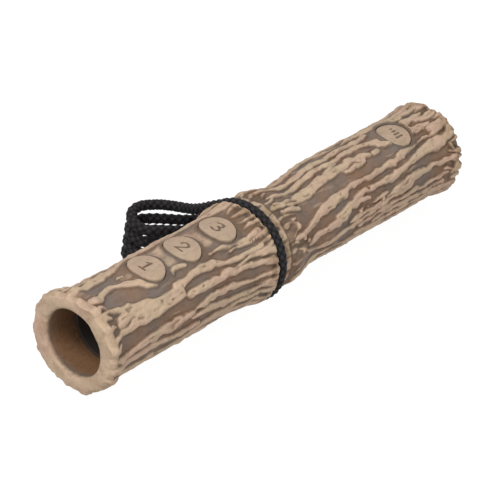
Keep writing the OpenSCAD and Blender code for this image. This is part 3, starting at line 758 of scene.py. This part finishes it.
# Each stroke is a row of (millimetres from the mouth, degrees from the top, half width).
front_ridges = [
    [(2, -15, 1.6), (8, -20, 2.0), (15, -22, 2.0), (22, -24, 1.6), (29, -29, 1.2)],
    [(22.5, -6, 0.5), (25, -4.5, 0.5)],
    [(4, 11, 1.4), (8, 9, 1.5), (10, 7, 1.4), (12.5, 4, 1.1), (15, 2, 0.8), (18, 2.5, 0.8), (20, 5, 1.2),
     (23, 9, 1.5), (26, 14, 1.4), (29, 19.5, 1.2), (32.5, 24, 0.8)],
    [(1, 31, 1.0), (6, 29, 0.6), (11, 30, 0.9), (17, 31, 1.0)],
    [(11, 44, 3.2), (16, 42, 3.6), (22, 47, 4.2), (28, 49, 3.6), (34, 49, 3.2), (40, 47, 3.0)],
    [(4, 58, 0.8), (9, 57, 1.1), (15, 56, 1.6), (24, 56, 1.6)],
    [(40, 42, 2.4), (45, 38, 1.4), (50, 35, 1.6), (55, 35, 1.8), (60, 37, 1.6), (65, 42, 1.2),
     (70, 45, 1.1), (76, 46, 0.9), (83, 44, 0.9)],
    [(61, 25, 0.6), (66, 24, 1.0), (72, 27, 1.1), (79, 30, 0.9), (85, 29, 1.0)],
    [(70, 34, 0.4), (76, 34, 0.6), (84, 36, 0.8)],
    [(62, 50, 0.4), (68, 53, 0.5), (74, 52, 0.6), (80, 52, 0.6), (86, 52, 0.9)],
    [(43, 57, 0.8), (47, 55, 1.6), (52, 55, 1.6), (58, 55, 1.5), (64, 56, 1.3), (70, 58, 1.0),
     (76, 60, 1.1), (82, 63, 1.1), (87, 64, 1.2)],
    [(3, 80, 1.2), (8, 86, 1.6), (12, 86, 1.6), (18, 82, 1.8), (24, 81, 2.2), (30, 80, 2.0), (36, 80, 1.6),
     (42, 80, 1.4), (48, 77, 1.2), (54, 72, 1.4), (60, 72, 1.6), (66, 74, 1.4), (72, 77, 1.1),
     (78, 80, 0.9), (86, 80, 1.1)],
    [(44, 87, 1.0), (50, 85, 1.2), (56, 86, 1.4), (62, 89, 1.6), (68, 92, 1.2), (76, 94, 1.0),
     (86, 93, 1.2)],
    [(8, 99, 1.2), (14, 96, 1.4), (22, 95, 1.4), (30, 97, 1.2), (38, 101, 1.4), (48, 99, 1.0)],
    [(54, 102, 1.2), (62, 103, 1.4), (70, 103, 1.0), (80, 105, 1.2)],
    [(42, 22, 0.7), (45, 20, 0.8), (48, 22, 0.4)],
]
front_hollows = [
    [(4, 40, 1.0), (7, 41, 1.6), (10, 37, 1.0), (12.5, 36, 0.3)],
    [(9, 52, 0.3), (12.5, 51, 0.5), (16.5, 47, 0.3)],
    [(46.5, 80, 0.5), (48, 80, 0.5)],
    [(55, 78, 0.6), (59, 81, 0.6)],
    [(44.5, 50, 0.5), (46, 45, 0.7), (50, 42, 0.8), (55, 44, 0.9), (61, 48, 0.7), (67, 49.5, 0.4)],
]
front_ridges += back_ridges(4, 90)
front_draw = np.random.default_rng(8)
burr_teeth = []
for angle in np.cumsum(front_draw.uniform(8, 14, 32)):
    tooth = front_draw.uniform(0.9, 1.5)
    burr_teeth.append([
        (2.5, angle, tooth),
        (front_draw.uniform(4, 5), angle + front_draw.uniform(-3, 3), 0.8 * tooth),
        (front_draw.uniform(5.5, 7.5), angle + front_draw.uniform(-5, 5), 0.35 * tooth)])
flare_knobs = []
for angle in -28 + np.cumsum(front_draw.uniform(7, 15, 33)):
    knob = front_draw.uniform(0.6, 1.5)
    flare_knobs.append([
        (front_draw.uniform(78, 83), angle + front_draw.uniform(-4, 4), 0.3),
        (front_draw.uniform(84, 86), angle + front_draw.uniform(-2, 2), 0.8 * knob),
        (88.6, angle, knob)])
burr_end = 3.2
burr_bumps = 17
burr_swell = 1.3
burr_flats = [(345, 1.8, 28), (128, 1.1, 28), (186, 0.9, 22)]  # angle, depth and width
strip_start = 40
strip_end = 78
flare_start = 82
notch_start = 85.4
notch_depth = 0.8
lip_start = 88.3


def front_skin(u, a):
    """Radius, paint, and grime with painted shade, of the front sleeve's outside."""
    bent_u, bent_a = wandered(u, a, 21)
    ragged = 0.10 + 0.30 * patchy(u, a, 1.2, 27, 2.5) + 0.35 * patchy(u, a, 3, 50)
    ridges = drawn_depth(bent_u, bent_a, front_ridges, front_hollows) + ragged
    burr = burr_end + 0.8 * patchy(0 * u, a, 6, 24) - u
    lip = u - lip_start + 0.5 * patchy(u, a, 2.5, 51)
    edge = drawn_depth(bent_u, bent_a, flare_knobs)
    teeth = drawn_depth(bent_u, bent_a, burr_teeth)
    depth = np.max([ridges, burr, lip, np.maximum(teeth, edge) + 0.6 * ragged], 0)

    near = np.min([oval_reach(u, a, pad_middle[name] - mouth_x, pad_along, pad_across)
                   for name in pad_names[:3]], 0)
    calm = ease((near - 1.08) / 0.3)
    strip = 1 - ease((np.abs(from_top(a) + 6) - 16) / 8)
    strip = strip * ease((u - strip_start) / 2) * ease((strip_end - u) / 3)
    open_skin = calm * (1 - strip)

    fine = fine_lines(u, a, bent_u, bent_a, 41)
    relief = np.maximum(rounded(depth), 0.25 * fine) * open_skin
    pits = ridge_pits(bent_u, bent_a, depth, 61) * ease((u - 3) / 3)
    waves = small_waves(u, a, 25) - pit_depth * pits * open_skin
    notch = -notch_depth * ease((u - notch_start) / 2.2) * (1 - ease((edge + 0.7) / 1.0))
    bump = np.maximum(0, np.sin(np.radians(burr_bumps * a) + 1.8 * patchy(0 * u, a, 9, 29)))
    lumps = burr_swell * bump * (0.55 + 0.45 * patchy(0 * u, a, 7, 30)) + 0.3 * patchy(u, a, 2, 54)
    flats = sum(deep * np.exp(-(from_top(a - at) / wide) ** 2) for at, deep, wide in burr_flats)
    raised = ridge_height * relief * ease(u / 4) * (1 - 0.35 * ease((u - flare_start) / 5))
    seat = seat_swell * (1 - ease((near - seat_reach) / 0.3))
    sunk = valley_sink * ease((u - 3) / 6) * ease((near - seat_reach) / 0.5)
    radius = (stations(front_profile, u) + raised + lumps * (1 - ease(u / 6)) + notch
              + waves * (0.4 + 0.6 * relief) + seat - flats * (1 - ease((u - 2) / 6)) - sunk)

    ridge_paint = np.maximum(ease((depth + 0.45) / 1.2), 0.4 * fine) * open_skin * (1 - 0.5 * pits)
    strip_paint = (0.50 + 0.35 * patchy(u, a, 3, 52, 2)) * strip * calm
    stain = ease((u - flare_start) / 4) * ease(0.45 + patchy(u, a, 2.2, 55))
    seat_shade = 0.5 * (1 - calm) * ease((near - 1) / 0.05)
    burr_shade = 0.35 * (1 - bump) * (1 - ease(np.abs(u - 2.2) / 2.2))
    # Painted shade along the ridges' feet, in the pits, round the pad seats and between the burr's bumps,
    # with stains towards the flare.
    grime_and_painted_shade = (foot_shade(u, a, depth, 43) * open_skin + 0.25 * pits * open_skin + seat_shade
             + 0.6 * stain + burr_shade)
    return radius, np.maximum(ridge_paint, strip_paint), grime_and_painted_shade


def sleeve(name, node, start, length, skin, inside, middles):
    """A closed skin: the moulded outside, then the inner profile of (along, radius) back to the start."""
    u = np.repeat(np.linspace(0, length, skin_rows)[:, None], skin_sides, 1)
    a = np.repeat(360 * np.arange(skin_sides)[None, :] / skin_sides, skin_rows, 0)
    radius, paint, grime_and_painted_shade = skin(u, a)
    outside = round_axis(start + u, a, radius)
    inner_u = np.repeat(np.array([p[0] for p in inside])[:, None], skin_sides, 1)
    inner_r = np.repeat(np.array([p[1] for p in inside])[:, None], skin_sides, 1)
    inner_a = np.repeat(a[:1], len(inside), 0)
    end_depth = np.minimum(np.abs(inner_u), np.abs(length - inner_u))
    end_face = 1 - ease((end_depth - 0.4) / 0.6)
    end_ring = np.where(inner_u < length / 2, radius[0] - radius[0].mean(), radius[-1] - radius[-1].mean())
    inner_u = inner_u + 0.25 * end_face * patchy(inner_r, inner_a, 3, 57)
    inner_r = inner_r + end_ring * end_face * np.clip((inner_r - 14) / 4, 0, 1)
    points = np.vstack([outside, round_axis(start + inner_u, inner_a, inner_r)])
    faces = [face[::-1] for face in grid_faces(len(points), skin_sides, closed=True)]
    piece = new_piece(name, points.reshape(-1, 3), faces, "call_body", antler_look)
    end_stain = 0.28 * end_face * ease(0.3 + patchy(inner_r, inner_a, 2.5, 58))
    paint_points(piece, "paint", np.vstack([paint, 1 - 2 * ease((end_depth - 0.1) / 5)]))
    # Inside the bore the rubber is painted darker the deeper it lies, as painted shade; the end faces get
    # stains.
    paint_points(piece, "grime_and_painted_shade", np.vstack([grime_and_painted_shade, end_stain + 0.30 * ease((end_depth - 1) / 14)]))
    cut_ovals(piece, middles, pad_along + 2 * hole_gap, pad_across + 2 * hole_gap)
    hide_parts(node)


mouth_inside = [
    (front_length, 18.6), (front_length, 15.5), (front_length, chamber_bore),
    (front_length - 10, chamber_bore), (60, chamber_bore), (40, chamber_bore),
    (mouth_depth + 0.2, chamber_bore), (mouth_depth, chamber_bore - 0.1), (mouth_depth, mouth_bore + 0.1),
    (mouth_depth - 0.3, mouth_bore), (10, mouth_bore), (5, mouth_bore), (1.6, mouth_bore),
    (0.9, mouth_bore + 0.1), (0.45, mouth_bore + 0.4), (0.12, mouth_bore + 0.8), (0, 14.2),
    (-0.1, 14.8), (-0.12, 15.8), (-0.1, 16.8), (0, 17.6), (0.1, 18.2)]
sleeve("front_antler_sleeve", "front_sleeve", mouth_x, front_length, front_skin, mouth_inside,
       [pad_middle[name] for name in pad_names[:3]])

# Rear sleeve: the sound tube half. A knobbed collar stands behind the groove, the neck draws in,
# and broken ridges run on to a knobbed rim at the open outlet.
rear_low, rear_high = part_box("rear_sleeve")
collar_x = rear_low.x / mm
rear_length = (rear_high.x - rear_low.x) / mm
collar_place = collar_x - mouth_x
rear_profile = [
    (0, 18.4), (1.4, 19.2), (9, 18.7), (22, 16.1), (47, 17.5), (98.4, 17.5), (109.4, 18.6), (111.4, 17.7)]
lean = 1.1
lean_angle = 310
sound_bore = 11.5
outlet_bore = 12.5
outlet_depth = 18.0
rear_ridges = [
    [(101, -3, 0.6), (106, -1, 0.7), (112, -2, 0.9), (118, -4, 1.2), (125, -7, 1.6), (133, -8, 1.4),
     (141, -6, 1.3), (149, -9, 1.5), (157, -8, 1.2), (163, -4, 1.4), (168, 0, 1.4)],
    [(101, 10, 0.5), (106, 12, 0.6), (112, 11, 1.2), (117, 14, 2.6), (123, 12, 2.2), (130, 8, 1.6),
     (138, 9, 1.4), (146, 6, 1.6), (153, 8, 1.6), (158, 11, 1.0)],
    [(101, 16, 0.4), (106, 18, 0.5), (111, 19, 0.9), (116, 18, 1.4)],
    [(101, 22, 0.4), (105, 24, 0.6), (110, 28, 0.8)],
    [(102, -20, 1.0), (110, -18, 1.4), (120, -17, 1.6), (130, -21, 1.5), (140, -18, 1.3), (150, -21, 1.5),
     (160, -18, 1.2), (168, -22, 1.2)],
    [(130, 8, 1.2), (136, 2, 0.8), (142, 0, 0.6)],
    [(142, 16, 0.8), (148, 15, 1.1), (154, 15, 0.9)],
    [(160, 12, 1.1), (163, 11, 1.2)],
    [(166, 3, 1.6), (169, 6, 1.5), (171, 12, 0.7)],
    [(101, 58, 0.7), (106, 58, 1.0), (111, 56, 1.2), (116, 52, 1.6), (120, 46, 2.0), (125, 43, 2.2),
     (130, 40, 2.0), (135, 38, 1.6), (140, 35, 1.2), (148, 35, 1.2), (156, 35, 1.1), (164, 34, 1.3),
     (170, 32, 1.3), (176, 30, 0.9), (184, 27, 0.7), (192, 26, 0.7), (200, 25, 0.7), (204, 24, 0.8)],
    [(166, 34, 1.6)],
    [(173, 31, 1.5)],
    [(128, 62, 1.0), (132, 57, 1.2), (136, 54, 1.2), (142, 50, 1.4), (147, 47, 1.2), (152, 50, 1.4),
     (158, 51, 1.4), (164, 49, 1.3), (170, 47, 1.1), (176, 44, 1.4), (181, 42, 1.8), (186, 39, 2.2),
     (191, 38, 2.8), (196, 39, 2.2), (202, 37, 1.4)],
    [(158, 71, 0.8), (163, 69, 1.4), (169, 68, 2.2), (175, 65, 1.8), (181, 64, 1.4), (188, 64, 1.2),
     (195, 65, 1.2), (199, 64, 0.7)],
    [(162, 75, 1.1), (168, 75, 1.5), (172, 72, 1.2)],
    [(165, 86, 0.8), (171, 84, 1.0), (178, 85, 1.0), (185, 86, 0.9), (192, 86, 1.0), (197, 85, 0.8)],
    [(109, 76, 1.0), (114, 73, 1.2), (120, 73, 1.6), (126, 71, 1.8), (131, 66, 1.6), (134, 61, 1.2)],
    [(102, 72, 0.8), (107, 80, 0.8), (112, 88, 1.0), (118, 93, 1.0), (123, 95, 1.2), (128, 91, 1.4),
     (133, 86, 1.2)],
    [(185, 8, 2.2), (190, 10, 1.6), (196, 11, 0.8)],
    [(186, -6, 2.4), (191, -8, 1.6), (198, -6, 0.9)],
    [(182, -33, 1.0), (190, -30, 1.4), (198, -33, 1.6), (204, -30, 1.2)],
    [(193, 0, 0.7), (198, 2, 1.5), (204, 1, 1.4)],
    [(194, 18, 0.7), (199, 17, 1.4), (205, 15, 1.2)],
    [(174, -24, 1.0), (184, -20, 1.4), (194, -22, 1.2), (202, -18, 1.0)],
    [(150, 97, 1.0), (160, 94, 1.2), (170, 95, 1.2), (182, 97, 1.0), (194, 96, 1.2)],
    [(140, 104, 1.2), (152, 107, 1.2), (166, 105, 1.4), (180, 108, 1.2), (196, 106, 1.2)],
    [(134, 60, 0.8), (138, 58, 1.3), (143, 56, 1.1), (147, 58, 0.6)],
    [(135, 80, 0.9), (139, 78, 1.3), (144, 75, 1.0), (148, 76, 1.2), (153, 74, 0.7)],
    [(133, 86, 1.1), (138, 85, 1.4), (142, 83, 0.9), (147, 81, 1.3), (151, 79, 0.9),
     (157, 78, 1.3), (162, 75, 1.0)],
    [(140, 92, 0.9), (145, 90, 1.3), (149, 88, 0.9), (154, 87, 1.2), (161, 85, 1.1), (165, 86, 0.8)],
    [(148, 67, 0.6), (152, 66, 0.9), (158, 64, 0.6)],
]
rear_hollows = [
    [(100.2, -12, 0.25), (100.2, 10, 0.3), (100.4, 28, 0.3), (100.2, 45, 0.25)],
    [(160.5, 40, 0.3), (160.8, 46, 0.3)],
    [(147.5, 42, 0.3), (148.5, 47, 0.3)],
    [(104, 36, 1.6), (109, 42, 2.0), (114, 42, 1.8), (119, 36, 1.2)],
]
rear_knobs = [
    [(141, 69, 1.0)], [(145.5, 69, 0.8)], [(155.5, 70, 0.9)], [(150, 84, 0.8)],
    [(104.5, 16, 0.7)], [(104, 37, 0.8)], [(105, 47, 1.0)], [(106, 62, 0.9)], [(104, 78, 1.0)],
    [(108, 70, 0.8)], [(202, 0, 1.1)], [(203, -15, 1.2)], [(202, 78, 1.3)], [(203, 68, 1.2)],
    [(199, 88, 1.2)], [(200, 50, 0.9)],
]
rear_draw = np.random.default_rng(14)
collar_notches = []
for angle in np.cumsum(rear_draw.uniform(8, 24, 22)):
    collar_notches.append([
        (rear_draw.uniform(93, 95), angle, rear_draw.uniform(0.15, 0.5)),
        (rear_draw.uniform(95.5, 97), angle + rear_draw.uniform(-4, 4), rear_draw.uniform(0.2, 0.7))])
for angle in np.cumsum(rear_draw.uniform(8, 16, 30)):
    knob = rear_draw.uniform(0.9, 1.8)
    rear_knobs.append([
        (rear_draw.uniform(195, 200), angle + rear_draw.uniform(-5, 5), 0.4),
        (rear_draw.uniform(201, 203), angle + rear_draw.uniform(-2, 2), 0.8 * knob),
        (204.4, angle, knob)])
for angle in np.cumsum(rear_draw.uniform(9, 18, 28)):
    rear_ridges.append([
        (98.6, angle, rear_draw.uniform(0.3, 0.7)),
        (rear_draw.uniform(100, 101.5), angle + rear_draw.uniform(-3, 3), rear_draw.uniform(0.3, 0.6)),
        (rear_draw.uniform(103, 107), angle + rear_draw.uniform(-6, 6), 0.25)])
rear_ridges += back_ridges(102, 206)
collar_middle = 1.5
collar_drop = 0.35
knob_swell = 0.35
rim_start = 194


def rear_skin(v, a):
    """Radius, paint, and grime with painted shade, of the rear sleeve's outside."""
    u = v + collar_place
    bent_u, bent_a = wandered(u, a, 31)
    ragged = 0.05 + 0.30 * patchy(u, a, 1.2, 38, 2.5) + 0.40 * patchy(u, a, 3, 53)
    ridges = drawn_depth(bent_u, bent_a, rear_ridges, rear_hollows) + ragged
    collar = 1.3 - np.abs(v - collar_middle + 0.3 * patchy(0 * u, a, 5, 44)) * 0.7
    collar = np.minimum(collar, -drawn_depth(bent_u, bent_a, collar_notches)) + 0.5 * ragged
    lumpy_u = bent_u + 1.0 * patchy(u, a, 2.2, 45)
    lumpy_a = bent_a + 1.0 * patchy(u, a, 2.2, 46) / degree
    knobs = drawn_depth(lumpy_u, lumpy_a, rear_knobs) + ragged
    depth = np.max([ridges, knobs, collar], 0)

    near = oval_reach(u, a, pad_middle["volume_pad"] - mouth_x, pad_along, pad_across)
    calm = ease((near - 1.06) / 0.2)
    fine = fine_lines(u, a, bent_u, bent_a, 47)
    relief = np.maximum(rounded(depth), 0.25 * fine) * calm
    pits = ridge_pits(bent_u, bent_a, depth, 62)
    waves = small_waves(u, a, 35) - pit_depth * pits * calm
    radius = (stations(rear_profile, v) + ridge_height * relief * ease((v - 2) / 6)
              + knob_swell * rounded(knobs) * calm + waves * (0.4 + 0.6 * relief)
              + collar_drop * (rounded(collar) - 1) * (1 - ease((v - 4) / 2))
              + seat_swell * (1 - ease((near - seat_reach) / 0.3))
              - valley_sink * ease((near - seat_reach) / 0.5)
              + lean * ease((v - 18) / 28) * np.cos(np.radians(a - lean_angle)))

    paint = np.maximum(ease((depth + 0.45) / 1.2), 0.4 * fine) * calm * (1 - 0.5 * pits)
    stain = 1 - ease((v - 3) / 9) + 0.8 * ease((u - rim_start) / 8)
    stain = stain * ease(0.5 + patchy(u, a, 2.2, 56))
    seat_shade = 0.5 * (1 - calm) * ease((near - 1) / 0.05)
    # Painted shade along the ridges' feet, in the pits and round the pad seat, with stains by the collar
    # and towards the outlet.
    grime_and_painted_shade = foot_shade(u, a, depth, 49) * calm + 0.25 * pits * calm + seat_shade + 0.55 * stain
    return radius, paint, grime_and_painted_shade


coupling_end = (axis_high.x / mm) - collar_x
outlet_inside = [
    (rear_length + 0.1, 17.0), (rear_length + 0.1, 15.2), (rear_length, outlet_bore + 1.6),
    (rear_length - 0.25, outlet_bore + 0.8), (rear_length - 0.8, outlet_bore + 0.2),
    (rear_length - 1.6, outlet_bore), (rear_length - 9, outlet_bore),
    (rear_length - outlet_depth, outlet_bore), (rear_length - outlet_depth, sound_bore),
    (rear_length - 40, sound_bore), (60, sound_bore), (40, sound_bore), (coupling_end + 0.2, sound_bore),
    (coupling_end + 0.2, chamber_bore), (9, chamber_bore), (0, chamber_bore), (0, 15.5), (0, 17.4)]
sleeve("rear_antler_sleeve", "rear_sleeve", collar_x, rear_length, rear_skin, outlet_inside,
       [pad_middle["volume_pad"]])

# Pads: four crowned rubber ovals. Three press the reed and are numbered from the mouth, and the fourth
# squeezes the sound tube and has rising bars. The marks are moulded in and keep the dark paint.
pad_rose = (0.372, 0.264, 0.196)
pad_straw = (0.366, 0.271, 0.189)
pad_look = rubber_look("pad_rubber", (pad_rose, pad_straw), (valley_brown, valley_grey))
pad_crown = 22.0
pad_cap = 1.8
edge_round = 0.4
mark_half = 0.46
mark_depth = 0.4
pad_marks = {
    "fawn_pad": [[(-1.1, 1.5), (0.1, 2.4), (0.1, -2.4)], [(-1.2, -2.4), (1.4, -2.4)]],
    "doe_pad": [[(-1.6, 1.2), (-1.1, 2.2), (0.1, 2.5), (1.3, 2.0), (1.4, 0.9), (0.4, -0.5), (-1.6, -2.4)],
                [(-1.6, -2.4), (1.7, -2.4)]],
    "young_buck_pad": [[(-1.5, 2.0), (-0.3, 2.5), (1.1, 2.1), (1.2, 0.9), (0.1, 0.15)],
                       [(0.1, 0.15), (1.3, -0.5), (1.5, -1.6), (0.3, -2.5), (-1.6, -2.0)]],
    "volume_pad": [[(-2.7 + 1.8 * k, 1.9), (-2.7 + 1.8 * k, 1.0 - 0.9 * k)] for k in range(4)],
}
stem_radius = 3.0
bar_radius = 1.2
bar_length = 8.0
bar_sides = 48
bar_bevel = 0.2
foot_radius = 5.0
foot_thick = 1.6
foot_bevel = 0.3
volume_under = 16.85
pad_sides = 240
mark_steps = 10
mark_far = 9.0


def mark_reach(right, up, marks):
    """Distance from each point of a pad's face to its moulded marks."""
    reach = np.full(right.shape, mark_far)
    for mark in marks:
        line = smooth_route(mark, mark_steps) if len(mark) > 3 else np.array(mark, float)
        for (x0, y0), (x1, y1) in zip(line, line[1:]):
            length = max((x1 - x0) ** 2 + (y1 - y0) ** 2, 1e-9)
            t = np.clip(((right - x0) * (x1 - x0) + (up - y0) * (y1 - y0)) / length, 0, 1)
            np.minimum(reach, np.hypot(right - x0 - t * (x1 - x0), up - y0 - t * (y1 - y0)), out=reach)
    return reach


def tone_stem(bottom):
    """Profile of (radius, height) of a stem that ends level with the middle of its bar."""
    end = bottom + bar_radius
    return [(stem_radius, end + foot_bevel), (stem_radius - foot_bevel, end), (foot_bevel, end)]


def damper_stem(bottom):
    """Profile of (radius, height) of a stem with a round foot that reaches into the sound tube."""
    top = bottom + foot_thick
    return [(stem_radius, top), (foot_radius - foot_bevel, top), (foot_radius, top - foot_bevel),
            (foot_radius, bottom + foot_bevel), (foot_radius - foot_bevel, bottom), (foot_bevel, bottom)]


def cross_bar(bottom):
    """Rings of the bar across a tone pad's foot, which pins the reed to its board."""
    turn = 2 * np.pi * np.arange(bar_sides) / bar_sides
    half = bar_length / 2
    ends = [(-half, bar_radius - bar_bevel), (bar_bevel - half, bar_radius),
            (half - bar_bevel, bar_radius), (half, bar_radius - bar_bevel)]
    return [np.stack([radius * np.cos(turn), np.full(bar_sides, end),
                      bottom + bar_radius + radius * np.sin(turn)], -1) for end, radius in ends]


def oval_pad(name, under, stem, bar):
    """A pad as rings: its face from the middle outwards, its wall, its underside at a radius about
    the call's axis, and its stem; then the bar of a tone pad."""
    top = pad_boxes[name][1].z / mm
    turn = 2 * np.pi * np.arange(pad_sides) / pad_sides
    rim_shares = 0.86 + 0.14 * np.sin(np.linspace(0.1, np.pi / 2, 14))
    share = np.concatenate([np.linspace(0.01, 0.86, 46), rim_shares])[:, None]
    x = share * pad_along / 2 * np.cos(turn)
    y = share * pad_across / 2 * np.sin(turn)
    rim = np.clip(1 - (1 - share) * pad_along / 2 / edge_round, 0, 1) * np.ones_like(x)
    height = (top - pad_crown + np.sqrt(pad_crown**2 - y**2)
              - edge_round * (1 - np.sqrt(np.clip(1 - rim**2, 0, 1))))
    dent = 1 - ease((mark_reach(-y, x, pad_marks[name]) - 0.5 * mark_half) / mark_half)
    height = height - mark_depth * dent
    rings = [np.stack([x, y, height], -1)]
    paint = [1 - 0.8 * dent - 0.2 * rim**6]
    grime_and_painted_shade = [0.45 * dent]

    def under_height(ring_y):
        return axis_height + np.sqrt(under**2 - ring_y**2)

    # Down its wall into the hole the pad is painted darker, as painted shade in the gap.
    for drop, grow in ((0.35, 0.03), (0.7, 0.10), (1.0, 0.2)):
        wide = 1 + grow / 7
        z = height[-1] + (under_height(y[-1]) - height[-1]) * drop
        rings.append(np.stack([x[-1] * wide, y[-1] * wide, z], -1)[None])
        paint.append(np.full((1, pad_sides), 0.7 - 0.5 * drop))
        grime_and_painted_shade.append(np.full((1, pad_sides), 0.7 * drop))
    under_rings = [(share_in * x[-1], share_in * y[-1]) for share_in in (0.8, 0.65)]
    under_rings.append((stem_radius * np.cos(turn), stem_radius * np.sin(turn)))
    for ring_x, ring_y in under_rings:
        rings.append(np.stack([ring_x, ring_y, under_height(ring_y)], -1)[None])
    for radius, z in stem:
        ring = [radius * np.cos(turn), radius * np.sin(turn), np.full(pad_sides, z)]
        rings.append(np.stack(ring, -1)[None])
    points = np.vstack(rings)
    faces = grid_faces(len(points), pad_sides)
    points = points.reshape(-1, 3)
    if bar:
        faces += grid_faces(len(bar), bar_sides, first=len(points))
        points = np.vstack([points, *bar])
    points[:, 0] += pad_middle[name]
    piece = new_piece(name.replace("_pad", "_key"), points, [face[::-1] for face in faces],
                      name.replace("_pad", "_button"), pad_look)
    paint, grime_and_painted_shade = np.vstack(paint).ravel(), np.vstack(grime_and_painted_shade).ravel()
    unseen = len(points) - len(paint)
    paint_points(piece, "paint", np.concatenate([paint, np.full(unseen, 0.6)]))
    paint_points(piece, "grime_and_painted_shade", np.concatenate([grime_and_painted_shade, np.zeros(unseen)]))
    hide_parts(name)


for name in pad_names[:3]:
    pad_bottom, pad_top = (corner.z / mm for corner in pad_boxes[name])
    oval_pad(name, pad_top - axis_height - pad_cap, tone_stem(pad_bottom), cross_bar(pad_bottom))
oval_pad("volume_pad", volume_under, damper_stem(pad_boxes["volume_pad"][0].z / mm), bar=None)

# Webs: thin rubber skins moulded across the foot of each pad's hole, which give when the pad is pressed
# and keep the tube airtight.
def dress(look, *names):
    """Gives pieces that stay as the solids have them their material."""
    for name in names:
        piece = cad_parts[name]
        piece.data.materials.clear()
        piece.data.materials.append(look)


dress(antler_look, "fawn_web", "doe_web", "young_buck_web", "volume_web")

# Reed barrel, tone board and coupling: hard black plastic mouldings. The barrel keeps the soft sleeve
# off the reed, the board carries the reed, and the coupling joins the two sleeves.
plastic_dark = (0.026, 0.021, 0.018)
plastic_pale = (0.046, 0.038, 0.032)
plastic_look = bpy.data.materials.new("black_plastic")
wire = empty_tree(plastic_look)
plastic_place = surface_place(wire)
plastic_grain = noise(plastic_place, 1800, 3)
plastic_flow = noise(plastic_place, 90, 2)
coat(wire, {
    "Base Color": tint(plastic_flow, plastic_dark, plastic_pale),
    "Roughness": 0.32 + 0.2 * plastic_grain, "Normal": dented(plastic_grain, 0.25, 0.06 * mm)})
dress(plastic_look, "reed_barrel", "tone_board", "coupling")

# Reed: a strip of amber polyester film over the board's trough, held at its root.
# It is cut along its rolling direction, so it shows faint lines.
film_amber = (0.52, 0.40, 0.20)
film_pale = (0.66, 0.55, 0.34)
film_look = bpy.data.materials.new("reed_film")
wire = empty_tree(film_look)
film_stretch = wire.node("ShaderNodeMapping", {"Vector": surface_place(wire), "Scale": (60, 2400, 60)})
film_lines = noise(film_stretch, 1.0, 2)
coat(wire, {
    "Base Color": tint(film_lines, film_amber, film_pale), "Roughness": 0.18 + 0.2 * film_lines,
    "Coat Weight": 0.3})
dress(film_look, "reed")

# Reed wedge, band and stopper seals: small soft black rubber pieces that clamp the reed
# and seal the stopper in the coupling.
seal_black = (0.008, 0.008, 0.008)
seal_dusty = (0.030, 0.030, 0.030)
seal_look = bpy.data.materials.new("seal_rubber")
wire = empty_tree(seal_look)
seal_bloom = noise(surface_place(wire), 700, 4)
coat(wire, {"Base Color": tint(seal_bloom, seal_black, seal_dusty), "Roughness": 0.55 + 0.25 * seal_bloom})
dress(seal_look, "reed_wedge", "reed_band", "stopper_seals")
